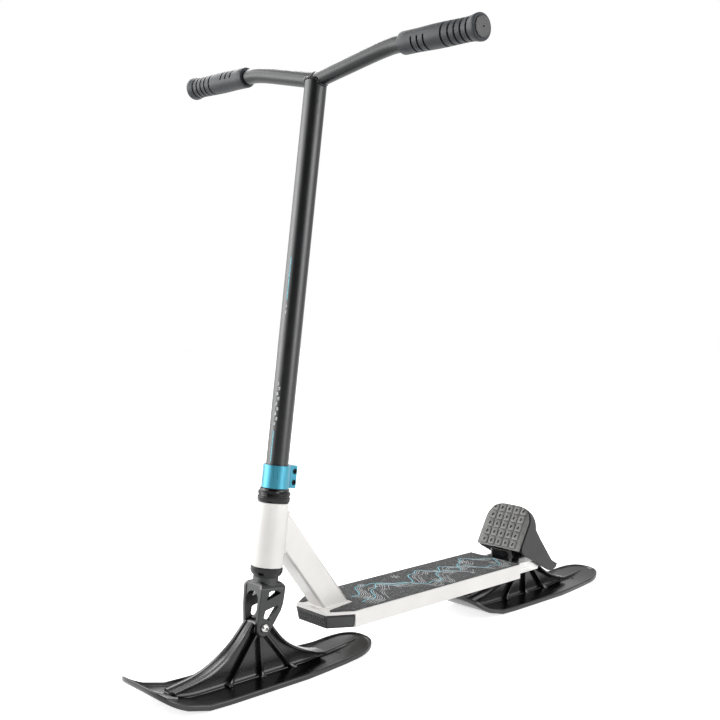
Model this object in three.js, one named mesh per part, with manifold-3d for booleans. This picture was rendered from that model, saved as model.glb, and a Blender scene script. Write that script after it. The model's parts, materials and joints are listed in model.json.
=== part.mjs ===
// Snow scooter: a kick scooter frame that stands on two short pivoting skis.
// Millimetres, +Z up, the scooter faces -Y, +X is the rider's left.
// The origin lies on the snow, under the middle of the whole scooter.
import * as THREE from 'three';
import { mergeVertices } from 'three/addons/utils/BufferGeometryUtils.js';
import Module from 'manifold-3d';

const wasm = await Module();
wasm.setup();

// Fits
const seatGap = 0.3; // left between two pieces that touch
const cutOver = 3; // how far a cutting shape runs past the wall that it cuts
const weldSink = 1; // how far two shapes of one piece run into each other

// Facets
const roundFacets = 20;
const smallFacets = 12;
const hexagon = 6;
const barFacets = 14;
const boreFacets = 12;
const gripFacets = 14;
const arcFacets = 4;
const cornerFacets = 3;
const mergeTolerance = 1e-4;

// Main heights and lengths
const pivotHeight = 75; // both ski pivots above the snow
const deckTopHeight = 79.5;
const deckWidth = 110;
const deckDepth = 24;
const deckLength = 428;
const noseWidth = 64;
const noseChamferLength = 38;
const deckWall = 4.5;
const deckCorner = 2;
const rearPivotBehindDeck = 76;

// Steering line
const rake = THREE.MathUtils.degToRad(7);
const axisAheadOfDeck = 93; // steering line to deck nose, at the height of the deck top
const headTubeDiameter = 44.4;
const headTubeBore = 34.6;
const headTubeLength = 90;
const headTubeBottom = 78; // along the steering line, from the height of the deck top
const steererDiameter = 25.4;
const steererBore = 20;

// Down tube, a rectangular tube
const downTubeWidth = 33;
const downTubeDepth = 40.5;
const downTubeWall = 2.5;
const downTubeCorner = 4;
const downTubeAngle = THREE.MathUtils.degToRad(52); // above the level
const downTubeBackOnDeck = 62.5; // its rear face meets the deck top this far behind the nose
const downTubeReachShare = 1.35; // stock length before the cuts, as a share of the space that it spans

// Grip tape
const tapeThickness = 1;
const tapeInset = 1.2;
const tapeNotchHalf = 20; // half the bare width behind the down tube
const tapeNotchBehindTube = 5;
const tapeTongueHalf = 29;
const tapeTongueStart = 6;

// Nose bumper
const bumperWall = 6;
const bumperProud = 0.8;
const bumperLean = 4; // how far its faces lean in towards the bottom
const bumperEndTop = 1.4; // its ends stop this far before the deck's corners, at the top
const bumperEndFoot = 0.5;
const bumperHeight = 19.5;
const bumperTongueLength = 16;
const bumperTongueWidth = 14;
const bumperTongueSpread = 24; // tongue middle from the middle line
const bumperGroovePitch = 5;
const bumperGrooveDepth = 0.8;
const bumperGrooveWidth = 1.6;

// Headset
const cupDiameter = 46;
const cupHeight = 10.5;
const cupWall = 2;
const cupSkirtLength = 9;
const cupShelf = 2.2;
const cupChamfer = 1.6;
const bearingDiameter = 41.2;
const bearingHeight = 7.4;
const bearingBore = 30.4;
const raceDiameter = 36;
const raceNeckHeight = 4;
const raceNeckWall = 1.5;
const coverHeight = 9;
const coverChamfer = 4;

// Fork
const crownWidth = 41.8;
const bossWidth = 33.2; // across the pivot faces, because the legs lean in
const pivotGap = 20.6; // between the legs, and between the bracket's ears, at the pivot
const legThickness = 6.8;
const forkDepth = 43.5;
const forkOffset = 6.7; // pivot ahead of the steering line
const crownHeight = 14; // crown top to the top of the arch between the legs
const crownTop = 58.5; // along the steering line
const crownBevel = 5;
const crownRound = 13; // of the shoulders, seen from the front
const crownSideRound = 9; // of the shoulders, seen from the side
const archInset = 0.6; // of the arch's sides into the legs
const archCorner = 12.8;
const legBevel = 1.2;
const bossRadius = 12.6;
const hubClearance = 1.2; // round the hub, inside the legs
const headRecessClearance = 1.2; // round the bolt's head
const legFrontKnee = 24; // height of the front edge's knee along the steering line
const legRearKnee = 17;
const windowCornerShare = 0.22;
const bossArcEnd = THREE.MathUtils.degToRad(330); // where the boss runs into the rear edge
const crownBossDiameter = 36;
const crownBossHeight = 5.5;
const crownFloor = 4;

// Pivot hardware
const pivotBoltDiameter = 8;
const pivotHeadDiameter = 13;
const pivotHeadHeight = 4.4;
const pivotSocketWidth = 5;
const pivotSocketDepth = 2.6;
const pivotNutWidth = 13;
const pivotNutHeight = 5;
const sleeveWall = 1.8;
const hubRadius = 12.6;

// Skis
const skiWidth = 108.6;
const skiNoseReach = 199; // ahead of the pivot
const skiTailReach = 209;
const skiRimHeight = 8.4;
const skiFloor = 4.6;
const skiRimWidth = 4;
const skiNoseRise = 35;
const skiTailRise = 9;
const skiNoseBendStart = 99; // ahead of the pivot
const skiTailBendStart = 130;
const skiBendPower = 1.7; // of the tips' rise, 2 is a parabola
const skiNoseTaper = 52;
const skiTailTaper = 62;
const skiNarrowStart = 50; // behind the pivot, from where it narrows to the tail
const skiTailWidth = 88;
const skiTailRim = 1.4; // rim left over the tray's floor at the tail's end
const noseRoundPower = 4.6; // of the nose outline, 2 is an ellipse
const tailRoundPower = 2.5;
const noseBendSteps = 5;
const tailBendSteps = 4;
const outlineSteps = 6;
const finThickness = 5;
const flangeWidth = 26;
const flangeTaperStart = 62; // from the pivot, where the flange starts to narrow towards the hub
const flangeTaperEnd = 15;
const spineHeight = 3.2; // above the tray floor, from the flange's ends to the tips
const skiTailRidgeEnd = 12; // the ridge stops this far before the tail's end
const flangeThickness = 4;
const flangeGrooveWidth = 8;
const flangeGrooveDepth = 1.6;
const ribThickness = 4.5;
const ribWidth = 20;
const finFootWidth = 13;
const finFootHeight = 2.4;

// Handlebar
const riserDiameter = 31.8;
const riserBore = 26;
const riserSlitWidth = 2.5;
const riserSlitLength = 40;
const barJunction = 765; // along the steering line
const crossbarDiameter = 22.2;
const crossbarBore = 17.4;
const barBendRise = 28.7;
const barEndRise = 26.4;
const barHalfSpan = 298.6;
const barEndForward = 0.3; // of the bar ends, ahead of the riser
const barBendBehind = 3.7; // the bends lie behind the riser's middle
const bendToGrip = 27.6; // corner of the bend to the grip's inner end
const barBendLead = 42; // of the bend's curve, before and after its corner
const barBendTrail = 15;
const barBendSteps = 5;

// Grips
const gripLength = 134;
const gripDiameter = 27.6;
const gripCollarDiameter = 29.4;
const gripCollarLength = 14;
const gripFlangeDiameter = 33.6;
const gripFlangeLength = 5;
const gripFlareLength = 12;
const gripSlotCount = 3;
const gripSlotStart = 20;
const gripSlotPitch = 9.2;
const gripSlotWidth = 2.2;
const gripSlotDepth = 1.3;
const gripRingCount = 7;
const gripRingStart = 66;
const gripRingPitch = 7.2;
const gripRingWidth = 2;
const gripRingDepth = 1;
const plugDiameter = 27;
const plugThickness = 2.4;
const plugSpigotLength = 18;
const plugHoleDiameter = 2.6;
const plugHoleDepth = 6;

// Clamp on the riser's foot
const clampHeight = 32;
const clampWall = 3.4;
const clampLobeReach = 32; // middle to the end of the lobe
const clampLobeWidth = 17;
const clampSlit = 3;
const lobeCornerShare = 0.12; // of the lobe's shorter side
const clampBoltPitch = 15.6;
const clampBoltInset = 5; // from the end of the lobe
const clampBoltDiameter = 5;
const clampHeadDiameter = 7.6;
const clampHeadHeight = 5;
const clampSocketWidth = 4;
const clampSocketDepth = 3;

// Compression bolt inside the steerer
const compressionBoltDiameter = 8;
const compressionHeadDiameter = 13;
const compressionHeadHeight = 6;
const compressionWasherDiameter = 20;
const compressionWasherHeight = 1.6;
const starNutHeight = 9;
const starNutSleeve = 12;
const starNutDisc = 1.6;
const starNutTeeth = 6;
const starNutAboveSteerer = 4;
const steererAboveClamp = 3;

// Rear bracket, a channel with two ears for the ski
const bracketWidth = 80;
const bracketWall = 4;
const bracketDepth = 17.5;
const bracketInsideDeck = 78;
const bracketBehindDeck = 76;
const bracketEarThickness = 6;
const bracketEarRadius = 12;
const bracketEarReach = 17; // ahead of the pivot
const bracketSlotAhead = 36;
const bracketSlotWidth = 31; // ahead of the ears, round the ski's flange
const bracketTaper = 9;
const bracketBoltDiameter = 6;
const bracketHeadDiameter = 11;
const bracketHeadHeight = 3.2;
const bracketBoltSpread = 27; // bolt from the middle line
const bracketBoltInset = 14;

// Foot stop
const padWidth = 91;
const padLength = 80;
const padThickness = 5;
const padCorner = 30;
const padLean = THREE.MathUtils.degToRad(60.3); // above the level
const padFootBehindDeck = 4.6;
const padFootAboveDeck = 20;
const studCount = 5;
const studPitchAcross = 15.4;
const studPitchUp = 15.4;
const studSize = 12.4;
const studHeight = 1.4;
const studHoleSize = 4;
const studHoleDepth = 3.4;
const studFirstRow = 9.6;
const shellWidth = 96;
const shellWall = 4;
const shellReach = 113; // front foot to tail, level
const shellTailDrop = 49.5; // tail below the pad's foot
const shellHeight = 62; // above the pad's foot
const shellCornerShare = 0.15; // of the shorter side at each corner
const shellRoomShare = 0.2; // height of the tail's room, as a share of the shell's height
const blockWidth = 44;
const blockLength = 32;
const blockCornerShare = 0.4;
const blockScrewDiameter = 5;
const blockScrewHead = 9;
const blockScrewHeadHeight = 3;
const blockScrewSpread = 13;
const blockNeckHeight = 25.5; // of the block above the pad's foot

// Derived datums. The parts are placed from the deck nose, and moved to the middle at the end.
const axisY = -axisAheadOfDeck;
const deckUnder = deckTopHeight - deckDepth;
const headTubeTop = headTubeBottom + headTubeLength;
const steererHole = steererDiameter + 2 * seatGap;
const forkHalfDepth = forkDepth / 2;
const pivotAlong = (pivotHeight - deckTopHeight - forkOffset * Math.sin(rake)) / Math.cos(rake);
const frontPivotY = axisY - forkOffset * Math.cos(rake) + pivotAlong * Math.sin(rake);
const rearPivotY = deckLength + rearPivotBehindDeck;
const middleY = (frontPivotY - skiNoseReach + rearPivotY + skiTailReach) / 2;
const hubWidth = pivotGap - 2 * seatGap;
const barBendSpan = barHalfSpan - gripLength - bendToGrip; // middle line to the bend
const upperCupTop = headTubeTop + seatGap + cupHeight;
const coverTop = upperCupTop + seatGap + coverHeight;
const riserFoot = coverTop + seatGap;
const clampBottom = riserFoot;
const clampOuter = riserDiameter / 2 + seatGap + clampWall;
const steererTop = clampBottom + clampHeight + steererAboveClamp;
const steererFoot = crownTop - crownHeight + crownFloor + seatGap;
const bracketTop = deckTopHeight - deckWall - seatGap;
const bracketUnder = bracketTop - bracketDepth;

const scooter = new THREE.Group();
scooter.position.set(0, -middleY, 0);

// Colours and finishes
const finishes = {
  whitePaint: { color: 0xe8e5e1, roughness: 0.42, metalness: 0 },
  blackSteel: { color: 0x2b2c2e, roughness: 0.45, metalness: 0.3 },
  blackAlloy: { color: 0x37383a, roughness: 0.4, metalness: 0.4 },
  skiPlastic: { color: 0x1d1e1f, roughness: 0.3, metalness: 0 },
  greyPlastic: { color: 0x47484a, roughness: 0.6, metalness: 0 },
  darkPlastic: { color: 0x1c1d1f, roughness: 0.55, metalness: 0 },
  padRubber: { color: 0x8b8b8a, roughness: 0.8, metalness: 0 },
  gripRubber: { color: 0x47494c, roughness: 0.75, metalness: 0 },
  gripTape: { color: 0x515355, roughness: 0.95, metalness: 0 },
  blueAnodised: { color: 0x6fbdd3, roughness: 0.3, metalness: 0.7 },
  brightMetal: { color: 0xc4c4c2, roughness: 0.35, metalness: 0.9 },
  bearingSteel: { color: 0x9a9c9e, roughness: 0.25, metalness: 0.9 },
};
const materials = {};
for (const [name, finish] of Object.entries(finishes)) {
  materials[name] = new THREE.MeshStandardMaterial(finish);
}

// Solids

function toSolid(geometry) {
  const bare = geometry.index ? geometry.toNonIndexed() : geometry.clone();
  bare.deleteAttribute('normal');
  bare.deleteAttribute('uv');
  const merged = mergeVertices(bare, mergeTolerance);
  const mesh = new wasm.Mesh({
    numProp: 3,
    vertProperties: new Float32Array(merged.attributes.position.array),
    triVerts: new Uint32Array(merged.index.array),
  });
  return new wasm.Manifold(mesh);
}

function toGeometry(solid) {
  const mesh = solid.getMesh();
  const geometry = new THREE.BufferGeometry();
  geometry.setAttribute('position', new THREE.BufferAttribute(new Float32Array(mesh.vertProperties), 3));
  geometry.setIndex(new THREE.BufferAttribute(new Uint32Array(mesh.triVerts), 1));
  const facets = geometry.toNonIndexed();
  facets.computeVertexNormals();
  return facets;
}

function moved(geometry, x, y, z) {
  return geometry.translate(x, y, z);
}

function join(...solids) {
  return solids.reduce((whole, solid) => whole.add(solid));
}

function cut(solid, ...tools) {
  return tools.reduce((rest, tool) => rest.subtract(tool), solid);
}

// The same solid, moved by a matrix.
function placed(solid, matrix) {
  return toSolid(toGeometry(solid).applyMatrix4(matrix));
}

function shifted(solid, x, y, z) {
  return placed(solid, new THREE.Matrix4().makeTranslation(x, y, z));
}

function addPart(parent, name, finish, solid) {
  const mesh = new THREE.Mesh(toGeometry(solid), materials[finish]);
  mesh.name = name;
  parent.add(mesh);
  return mesh;
}

// Basic forms. 'Along' forms run from a lower to a higher place on one axis.

function box(x0, x1, y0, y1, z0, z1) {
  const geometry = new THREE.BoxGeometry(x1 - x0, y1 - y0, z1 - z0);
  return toSolid(moved(geometry, (x0 + x1) / 2, (y0 + y1) / 2, (z0 + z1) / 2));
}

function cylinderZ(radius, z0, z1, facets = roundFacets) {
  const geometry = new THREE.CylinderGeometry(radius, radius, z1 - z0, facets);
  geometry.rotateX(Math.PI / 2);
  return toSolid(moved(geometry, 0, 0, (z0 + z1) / 2));
}

function cylinderX(radius, x0, x1, y, z, facets = roundFacets) {
  const geometry = new THREE.CylinderGeometry(radius, radius, x1 - x0, facets);
  geometry.rotateZ(Math.PI / 2);
  return toSolid(moved(geometry, (x0 + x1) / 2, y, z));
}

// A ring turned about Z from [radius, height] points, closed on itself.
function turned(profile, facets = roundFacets) {
  const points = profile.map(([radius, height]) => new THREE.Vector2(radius, height));
  if (points[0].x > 0) points.push(points[0].clone());
  const geometry = new THREE.LatheGeometry(points, facets);
  geometry.rotateX(Math.PI / 2);
  const solid = toSolid(geometry);
  return solid.volume() > 0 ? solid : toSolid(flipped(geometry));
}

function flipped(geometry) {
  const index = geometry.index.array;
  for (let i = 0; i < index.length; i += 3) [index[i], index[i + 1]] = [index[i + 1], index[i]];
  return geometry;
}

function tube(outer, inner, z0, z1, facets = roundFacets) {
  return turned([[inner, z0], [outer, z0], [outer, z1], [inner, z1]], facets);
}

function outlineShape(points) {
  return new THREE.Shape(points.map(([a, b]) => new THREE.Vector2(a, b)));
}

// A side outline in (Y, Z), run across X from x0 to x1.
function acrossX(shape, x0, x1, bevel = 0) {
  const geometry = new THREE.ExtrudeGeometry(shape, {
    depth: x1 - x0 - 2 * bevel,
    bevelEnabled: bevel > 0,
    bevelThickness: bevel,
    bevelSize: bevel,
    bevelOffset: -bevel,
    bevelSegments: 1,
    curveSegments: arcFacets,
  });
  // The shape's own X and Y become Y and Z, and its depth becomes X.
  geometry.applyMatrix4(new THREE.Matrix4().set(0, 0, 1, x0 + bevel, 1, 0, 0, 0, 0, 1, 0, 0, 0, 0, 0, 1));
  return toSolid(geometry);
}

// A plan outline in (X, Y), run up from z0 to z1.
function upZ(shape, z0, z1) {
  const geometry = new THREE.ExtrudeGeometry(shape, {
    depth: z1 - z0,
    bevelEnabled: false,
    curveSegments: arcFacets,
  });
  return toSolid(moved(geometry, 0, 0, z0));
}

// A front outline in (X, Z), run back from y0 to y1.
function backY(shape, y0, y1) {
  const geometry = new THREE.ExtrudeGeometry(shape, {
    depth: y1 - y0,
    bevelEnabled: false,
    curveSegments: arcFacets,
  });
  geometry.applyMatrix4(new THREE.Matrix4().set(1, 0, 0, 0, 0, 0, -1, y1, 0, 1, 0, 0, 0, 0, 0, 1));
  return toSolid(geometry);
}

// A solid between two outlines in (X, Y) with the same number of corners.
function lofted(lower, upper, z0, z1) {
  const count = lower.length;
  const positions = [];
  lower.forEach(([x, y]) => positions.push(x, y, z0));
  upper.forEach(([x, y]) => positions.push(x, y, z1));
  const index = [];
  for (let i = 0; i < count; i += 1) {
    const next = (i + 1) % count;
    index.push(i, next, count + next, i, count + next, count + i);
  }
  for (let i = 1; i < count - 1; i += 1) {
    index.push(0, i + 1, i, count, count + i, count + i + 1);
  }
  const geometry = new THREE.BufferGeometry();
  geometry.setAttribute('position', new THREE.Float32BufferAttribute(positions, 3));
  geometry.setIndex(index);
  return toSolid(geometry);
}

function roundedRectangle(width, height, radius, centreX = 0, centreY = 0) {
  const shape = new THREE.Shape();
  const [w, h, r] = [width / 2, height / 2, radius];
  shape.moveTo(centreX - w + r, centreY - h);
  shape.lineTo(centreX + w - r, centreY - h);
  shape.absarc(centreX + w - r, centreY - h + r, r, -Math.PI / 2, 0);
  shape.lineTo(centreX + w, centreY + h - r);
  shape.absarc(centreX + w - r, centreY + h - r, r, 0, Math.PI / 2);
  shape.lineTo(centreX - w + r, centreY + h);
  shape.absarc(centreX - w + r, centreY + h - r, r, Math.PI / 2, Math.PI);
  shape.lineTo(centreX - w, centreY - h + r);
  shape.absarc(centreX - w + r, centreY - h + r, r, Math.PI, Math.PI * 1.5);
  return shape;
}

// Corner points become short curves, each starting a share of the shorter side away.
function softened(points, share) {
  const shape = new THREE.Shape();
  const corners = points.map(([a, b]) => new THREE.Vector2(a, b));
  corners.forEach((corner, i) => {
    const before = corners[(i + corners.length - 1) % corners.length];
    const after = corners[(i + 1) % corners.length];
    const reach = share * Math.min(corner.distanceTo(before), corner.distanceTo(after));
    const start = corner.clone().add(before.clone().sub(corner).setLength(reach));
    const end = corner.clone().add(after.clone().sub(corner).setLength(reach));
    if (i === 0) shape.moveTo(start.x, start.y);
    else shape.lineTo(start.x, start.y);
    shape.quadraticCurveTo(corner.x, corner.y, end.x, end.y);
  });
  shape.closePath();
  return shape;
}

// Button head: shares of its radius and of its height.
const buttonHeadShares = [[1, 0], [1, 0.35], [0.72, 0.85], [0.48, 1]];

// Fasteners, made along X: the head's inner face lies at x0, and the shank runs to x1.
function buttonBolt(y, z, x0, x1, size) {
  const rim = buttonHeadShares.map(([across, up]) => [across * size.head / 2, up * size.headHeight]);
  const head = turned([[0, 0], ...rim, [0, size.headHeight]], smallFacets);
  const socket = cylinderZ(size.socket / 2, size.headHeight - size.socketDepth,
    size.headHeight + cutOver, hexagon);
  const outward = x0 > x1 ? 1 : -1;
  const turnedHead = placed(cut(head, socket), new THREE.Matrix4()
    .makeRotationY(outward * Math.PI / 2).setPosition(x0, y, z));
  const shank = cylinderX(size.shank / 2, Math.min(x0, x1) - (outward > 0 ? 0 : weldSink / 2),
    Math.max(x0, x1) + (outward > 0 ? weldSink / 2 : 0), y, z, smallFacets);
  return join(turnedHead, shank);
}

// Deck: an open channel pressed from one profile, cut to the nose outline.
function deckOutline(inset) {
  const half = deckWidth / 2 - inset;
  const slope = Math.hypot(deckWidth / 2 - noseWidth / 2, noseChamferLength);
  const corner = inset * (slope - (deckWidth - noseWidth) / 2) / noseChamferLength;
  const noseHalf = noseWidth / 2 - corner;
  const run = noseChamferLength * (half - noseHalf) / (deckWidth / 2 - noseWidth / 2);
  return [
    [-noseHalf, inset], [noseHalf, inset], [half, inset + run],
    [half, deckLength - inset], [-half, deckLength - inset], [-half, inset + run],
  ];
}

function makeDeck() {
  const profile = roundedRectangle(deckWidth, deckDepth + deckCorner, deckCorner, 0,
    deckTopHeight - (deckDepth + deckCorner) / 2);
  const stock = backY(profile, 0, deckLength);
  const inner = deckWidth / 2 - deckWall;
  const channel = box(-inner, inner, -cutOver, deckLength + cutOver,
    deckUnder - deckCorner - cutOver, deckTopHeight - deckWall);
  const foot = box(-deckWidth, deckWidth, -cutOver, deckLength + cutOver,
    deckUnder - deckCorner - cutOver, deckUnder);
  const plan = upZ(outlineShape(deckOutline(0)), deckUnder - cutOver, deckTopHeight + cutOver);
  const bumperRoom = cut(
    box(-deckWidth, deckWidth, -cutOver, noseChamferLength, deckUnder - cutOver, deckTopHeight - deckWall),
    upZ(outlineShape(deckOutline(bumperWall)), deckUnder - cutOver, deckTopHeight),
  );
  return cut(stock.intersect(plan), channel, foot, bumperRoom, ...bracketBoltHoles(deckUnder));
}

function bracketBoltPlaces() {
  const places = [];
  for (const side of [-1, 1]) {
    for (const along of [bracketBoltInset, bracketInsideDeck - bracketBoltInset]) {
      places.push([side * bracketBoltSpread, deckLength - bracketInsideDeck + along]);
    }
  }
  return places;
}

function bracketBoltHoles(from) {
  const radius = bracketBoltDiameter / 2 + seatGap;
  return bracketBoltPlaces().map(([x, y]) => {
    return shifted(cylinderZ(radius, from, deckTopHeight + cutOver, smallFacets), x, y, 0);
  });
}

// The pressed grit sheet: it leaves the nose bare round the foot of the down tube.
function makeGripTape() {
  const [, noseRight, chamferRight] = deckOutline(tapeInset);
  const rear = deckLength - tapeInset;
  const side = deckWidth / 2 - tapeInset;
  const back = downTubeBackOnDeck + tapeNotchBehindTube;
  const tipY = tapeTongueStart;
  const chamferX = noseRight[0] + (chamferRight[0] - noseRight[0])
    * (tipY - noseRight[1]) / (chamferRight[1] - noseRight[1]);
  const outline = outlineShape([
    [side, chamferRight[1]], [side, rear], [-side, rear], [-side, chamferRight[1]],
    [-chamferX, tipY], [-tapeTongueHalf, tipY + tapeNotchBehindTube], [-tapeNotchHalf, back],
    [tapeNotchHalf, back], [tapeTongueHalf, tipY + tapeNotchBehindTube], [chamferX, tipY],
  ]);
  const low = deckTopHeight + seatGap;
  return upZ(outline, low, low + tapeThickness);
}

// The bumper wraps the three nose faces under the deck's lip, with two tongues inside the channel.
function makeNoseBumper() {
  const top = deckTopHeight - deckWall - seatGap;
  const low = top - bumperHeight;
  const outer = lofted(deckOutline(bumperLean - bumperProud), deckOutline(-bumperProud), low, top);
  const room = upZ(outlineShape(deckOutline(bumperWall - seatGap)), low - cutOver, top + cutOver);
  const slant = (bumperEndTop - bumperEndFoot) / bumperHeight * cutOver;
  const rear = deckLength + bumperProud + cutOver;
  const behind = acrossX(outlineShape([
    [noseChamferLength - bumperEndFoot + slant, low - cutOver], [rear, low - cutOver],
    [rear, top + cutOver], [noseChamferLength - bumperEndTop - slant, top + cutOver],
  ]), -deckWidth, deckWidth);
  const wrap = cut(outer, room, behind);
  const tongues = [-1, 1].map((side) => {
    const middle = side * bumperTongueSpread / 2;
    return box(middle - bumperTongueWidth / 2, middle + bumperTongueWidth / 2,
      bumperWall - weldSink, bumperWall + bumperTongueLength, low + bumperWall, top - bumperWall / 2);
  });
  const grooves = [];
  const count = Math.floor(noseWidth / bumperGroovePitch);
  for (let i = 0; i < count; i += 1) {
    const middle = (i - (count - 1) / 2) * bumperGroovePitch;
    grooves.push(box(middle - bumperGrooveWidth / 2, middle + bumperGrooveWidth / 2,
      -bumperProud - cutOver, bumperGrooveDepth,
      low + bumperGroovePitch / 2, top - bumperGroovePitch / 2));
  }
  return cut(join(wrap, ...tongues), ...grooves);
}

// Down tube, cut to the round of the head tube and to the flat of the deck.
function makeDownTube() {
  const direction = new THREE.Vector3(0, Math.cos(downTubeAngle), -Math.sin(downTubeAngle));
  const span = headTubeTop * downTubeReachShare;
  const shape = roundedRectangle(downTubeWidth, downTubeDepth, downTubeCorner);
  const hole = roundedRectangle(downTubeWidth - 2 * downTubeWall, downTubeDepth - 2 * downTubeWall,
    downTubeCorner - downTubeWall / 2);
  shape.holes.push(hole);
  const geometry = new THREE.ExtrudeGeometry(shape, {
    depth: span,
    bevelEnabled: false,
    curveSegments: cornerFacets,
  });
  // Stock runs down its own Z, from above the head tube to below the deck.
  const across = new THREE.Vector3(1, 0, 0);
  const up = direction.clone().cross(across);
  const backCorner = new THREE.Vector3(0, downTubeBackOnDeck, deckTopHeight);
  const start = backCorner
    .addScaledVector(direction, -span + downTubeDepth)
    .addScaledVector(up, (up.z > 0 ? -1 : 1) * downTubeDepth / 2);
  geometry.applyMatrix4(new THREE.Matrix4().makeBasis(across, up, direction).setPosition(start));
  const stock = toSolid(geometry);
  const reach = deckLength;
  const deckCut = box(-deckWidth, deckWidth, -reach, reach, -reach, deckTopHeight + seatGap);
  const headCut = steeringSolid(cylinderZ(headTubeDiameter / 2 + seatGap, 0, headTubeTop + headTubeLength));
  const aheadCut = steeringSolid(
    box(-deckWidth, deckWidth, -reach, 0, -headTubeBottom, headTubeTop + headTubeLength),
  );
  return cut(stock, deckCut, headCut, aheadCut);
}

// Moves a solid from the steering line's own frame to the scooter's.
function steeringSolid(solid) {
  return placed(solid, new THREE.Matrix4().makeRotationX(-rake).setPosition(0, axisY, deckTopHeight));
}

function makeHeadTube() {
  return tube(headTubeDiameter / 2, headTubeBore / 2, headTubeBottom, headTubeTop, roundFacets);
}

// Headset: each cup has a skirt in the head tube, a shelf, and a pocket for its bearing.
function makeCup(face, outward) {
  const outer = cupDiameter / 2;
  const pocket = bearingDiameter / 2 + seatGap;
  const skirt = headTubeBore / 2 - seatGap;
  const bore = bearingBore / 2 + seatGap;
  const z = (height) => face + outward * height;
  return turned([
    [bore, z(-cupSkirtLength)], [skirt, z(-cupSkirtLength)], [skirt, z(0)], [outer, z(0)],
    [outer, z(cupHeight - cupChamfer)], [outer - cupChamfer / 2, z(cupHeight)],
    [pocket, z(cupHeight)], [pocket, z(cupShelf)], [bore, z(cupShelf)],
  ]);
}

function makeBearing(shelfFace, outward) {
  const low = shelfFace + outward * (cupShelf + seatGap);
  const high = low + outward * bearingHeight;
  return tube(bearingDiameter / 2, bearingBore / 2, Math.min(low, high), Math.max(low, high), smallFacets);
}

function makeCrownRace() {
  const low = crownTop + crownBossHeight + seatGap;
  const bearingLow = headTubeBottom - seatGap - cupShelf - seatGap - bearingHeight;
  const shoulder = bearingLow - seatGap;
  const neck = steererHole / 2 + raceNeckWall;
  return turned([
    [steererHole / 2, low], [raceDiameter / 2, low], [raceDiameter / 2, shoulder],
    [neck, shoulder], [neck, shoulder + raceNeckHeight], [steererHole / 2, shoulder + raceNeckHeight],
  ]);
}

// The cover sits on the upper bearing and carries the foot of the riser.
function makeHeadsetCover() {
  const low = upperCupTop + seatGap;
  const bearingTop = headTubeTop + seatGap + cupShelf + seatGap + bearingHeight;
  const neck = steererHole / 2 + raceNeckWall;
  const outer = cupDiameter / 2;
  return turned([
    [steererHole / 2, bearingTop - raceNeckHeight], [neck, bearingTop - raceNeckHeight],
    [neck, bearingTop + seatGap], [bearingDiameter / 2 - cupWall, bearingTop + seatGap],
    [bearingDiameter / 2 - cupWall, low], [outer, low],
    [outer, coverTop - coverChamfer], [outer - coverChamfer, coverTop], [steererHole / 2, coverTop],
  ]);
}

// Fork: two open-work legs under an arched crown.
function forkPivot() {
  return [-forkOffset, pivotAlong];
}

function legOutline() {
  const [pivotY, pivotZ] = forkPivot();
  const shape = new THREE.Shape();
  const shoulder = crownTop - crownBevel;
  shape.moveTo(-forkHalfDepth, shoulder);
  shape.lineTo(-forkHalfDepth, legFrontKnee);
  shape.lineTo(pivotY - bossRadius, pivotZ);
  shape.absarc(pivotY, pivotZ, bossRadius, Math.PI, bossArcEnd);
  shape.lineTo(forkHalfDepth - crownBevel / 2, legRearKnee);
  shape.lineTo(forkHalfDepth, legRearKnee + 2 * crownBevel);
  shape.lineTo(forkHalfDepth, shoulder);
  shape.lineTo(forkHalfDepth - crownBevel, crownTop);
  shape.lineTo(-forkHalfDepth + crownBevel, crownTop);
  shape.closePath();
  return shape;
}

// Window corners as shares of the fork's half depth, and of the crown's height.
const upperWindowShares = [[-0.49, 0.57], [0.66, 0.735], [0.28, 0.81], [-0.38, 0.8]];
const lowerWindowShares = [[-0.45, 0.34], [-0.5, 0.16], [-0.22, 0.085], [0.05, 0.1], [0.64, 0.46]];

function windowPath(shares) {
  const points = shares.map(([a, b]) => [a * forkHalfDepth, b * crownTop]);
  return softened(points, windowCornerShare);
}

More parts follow.
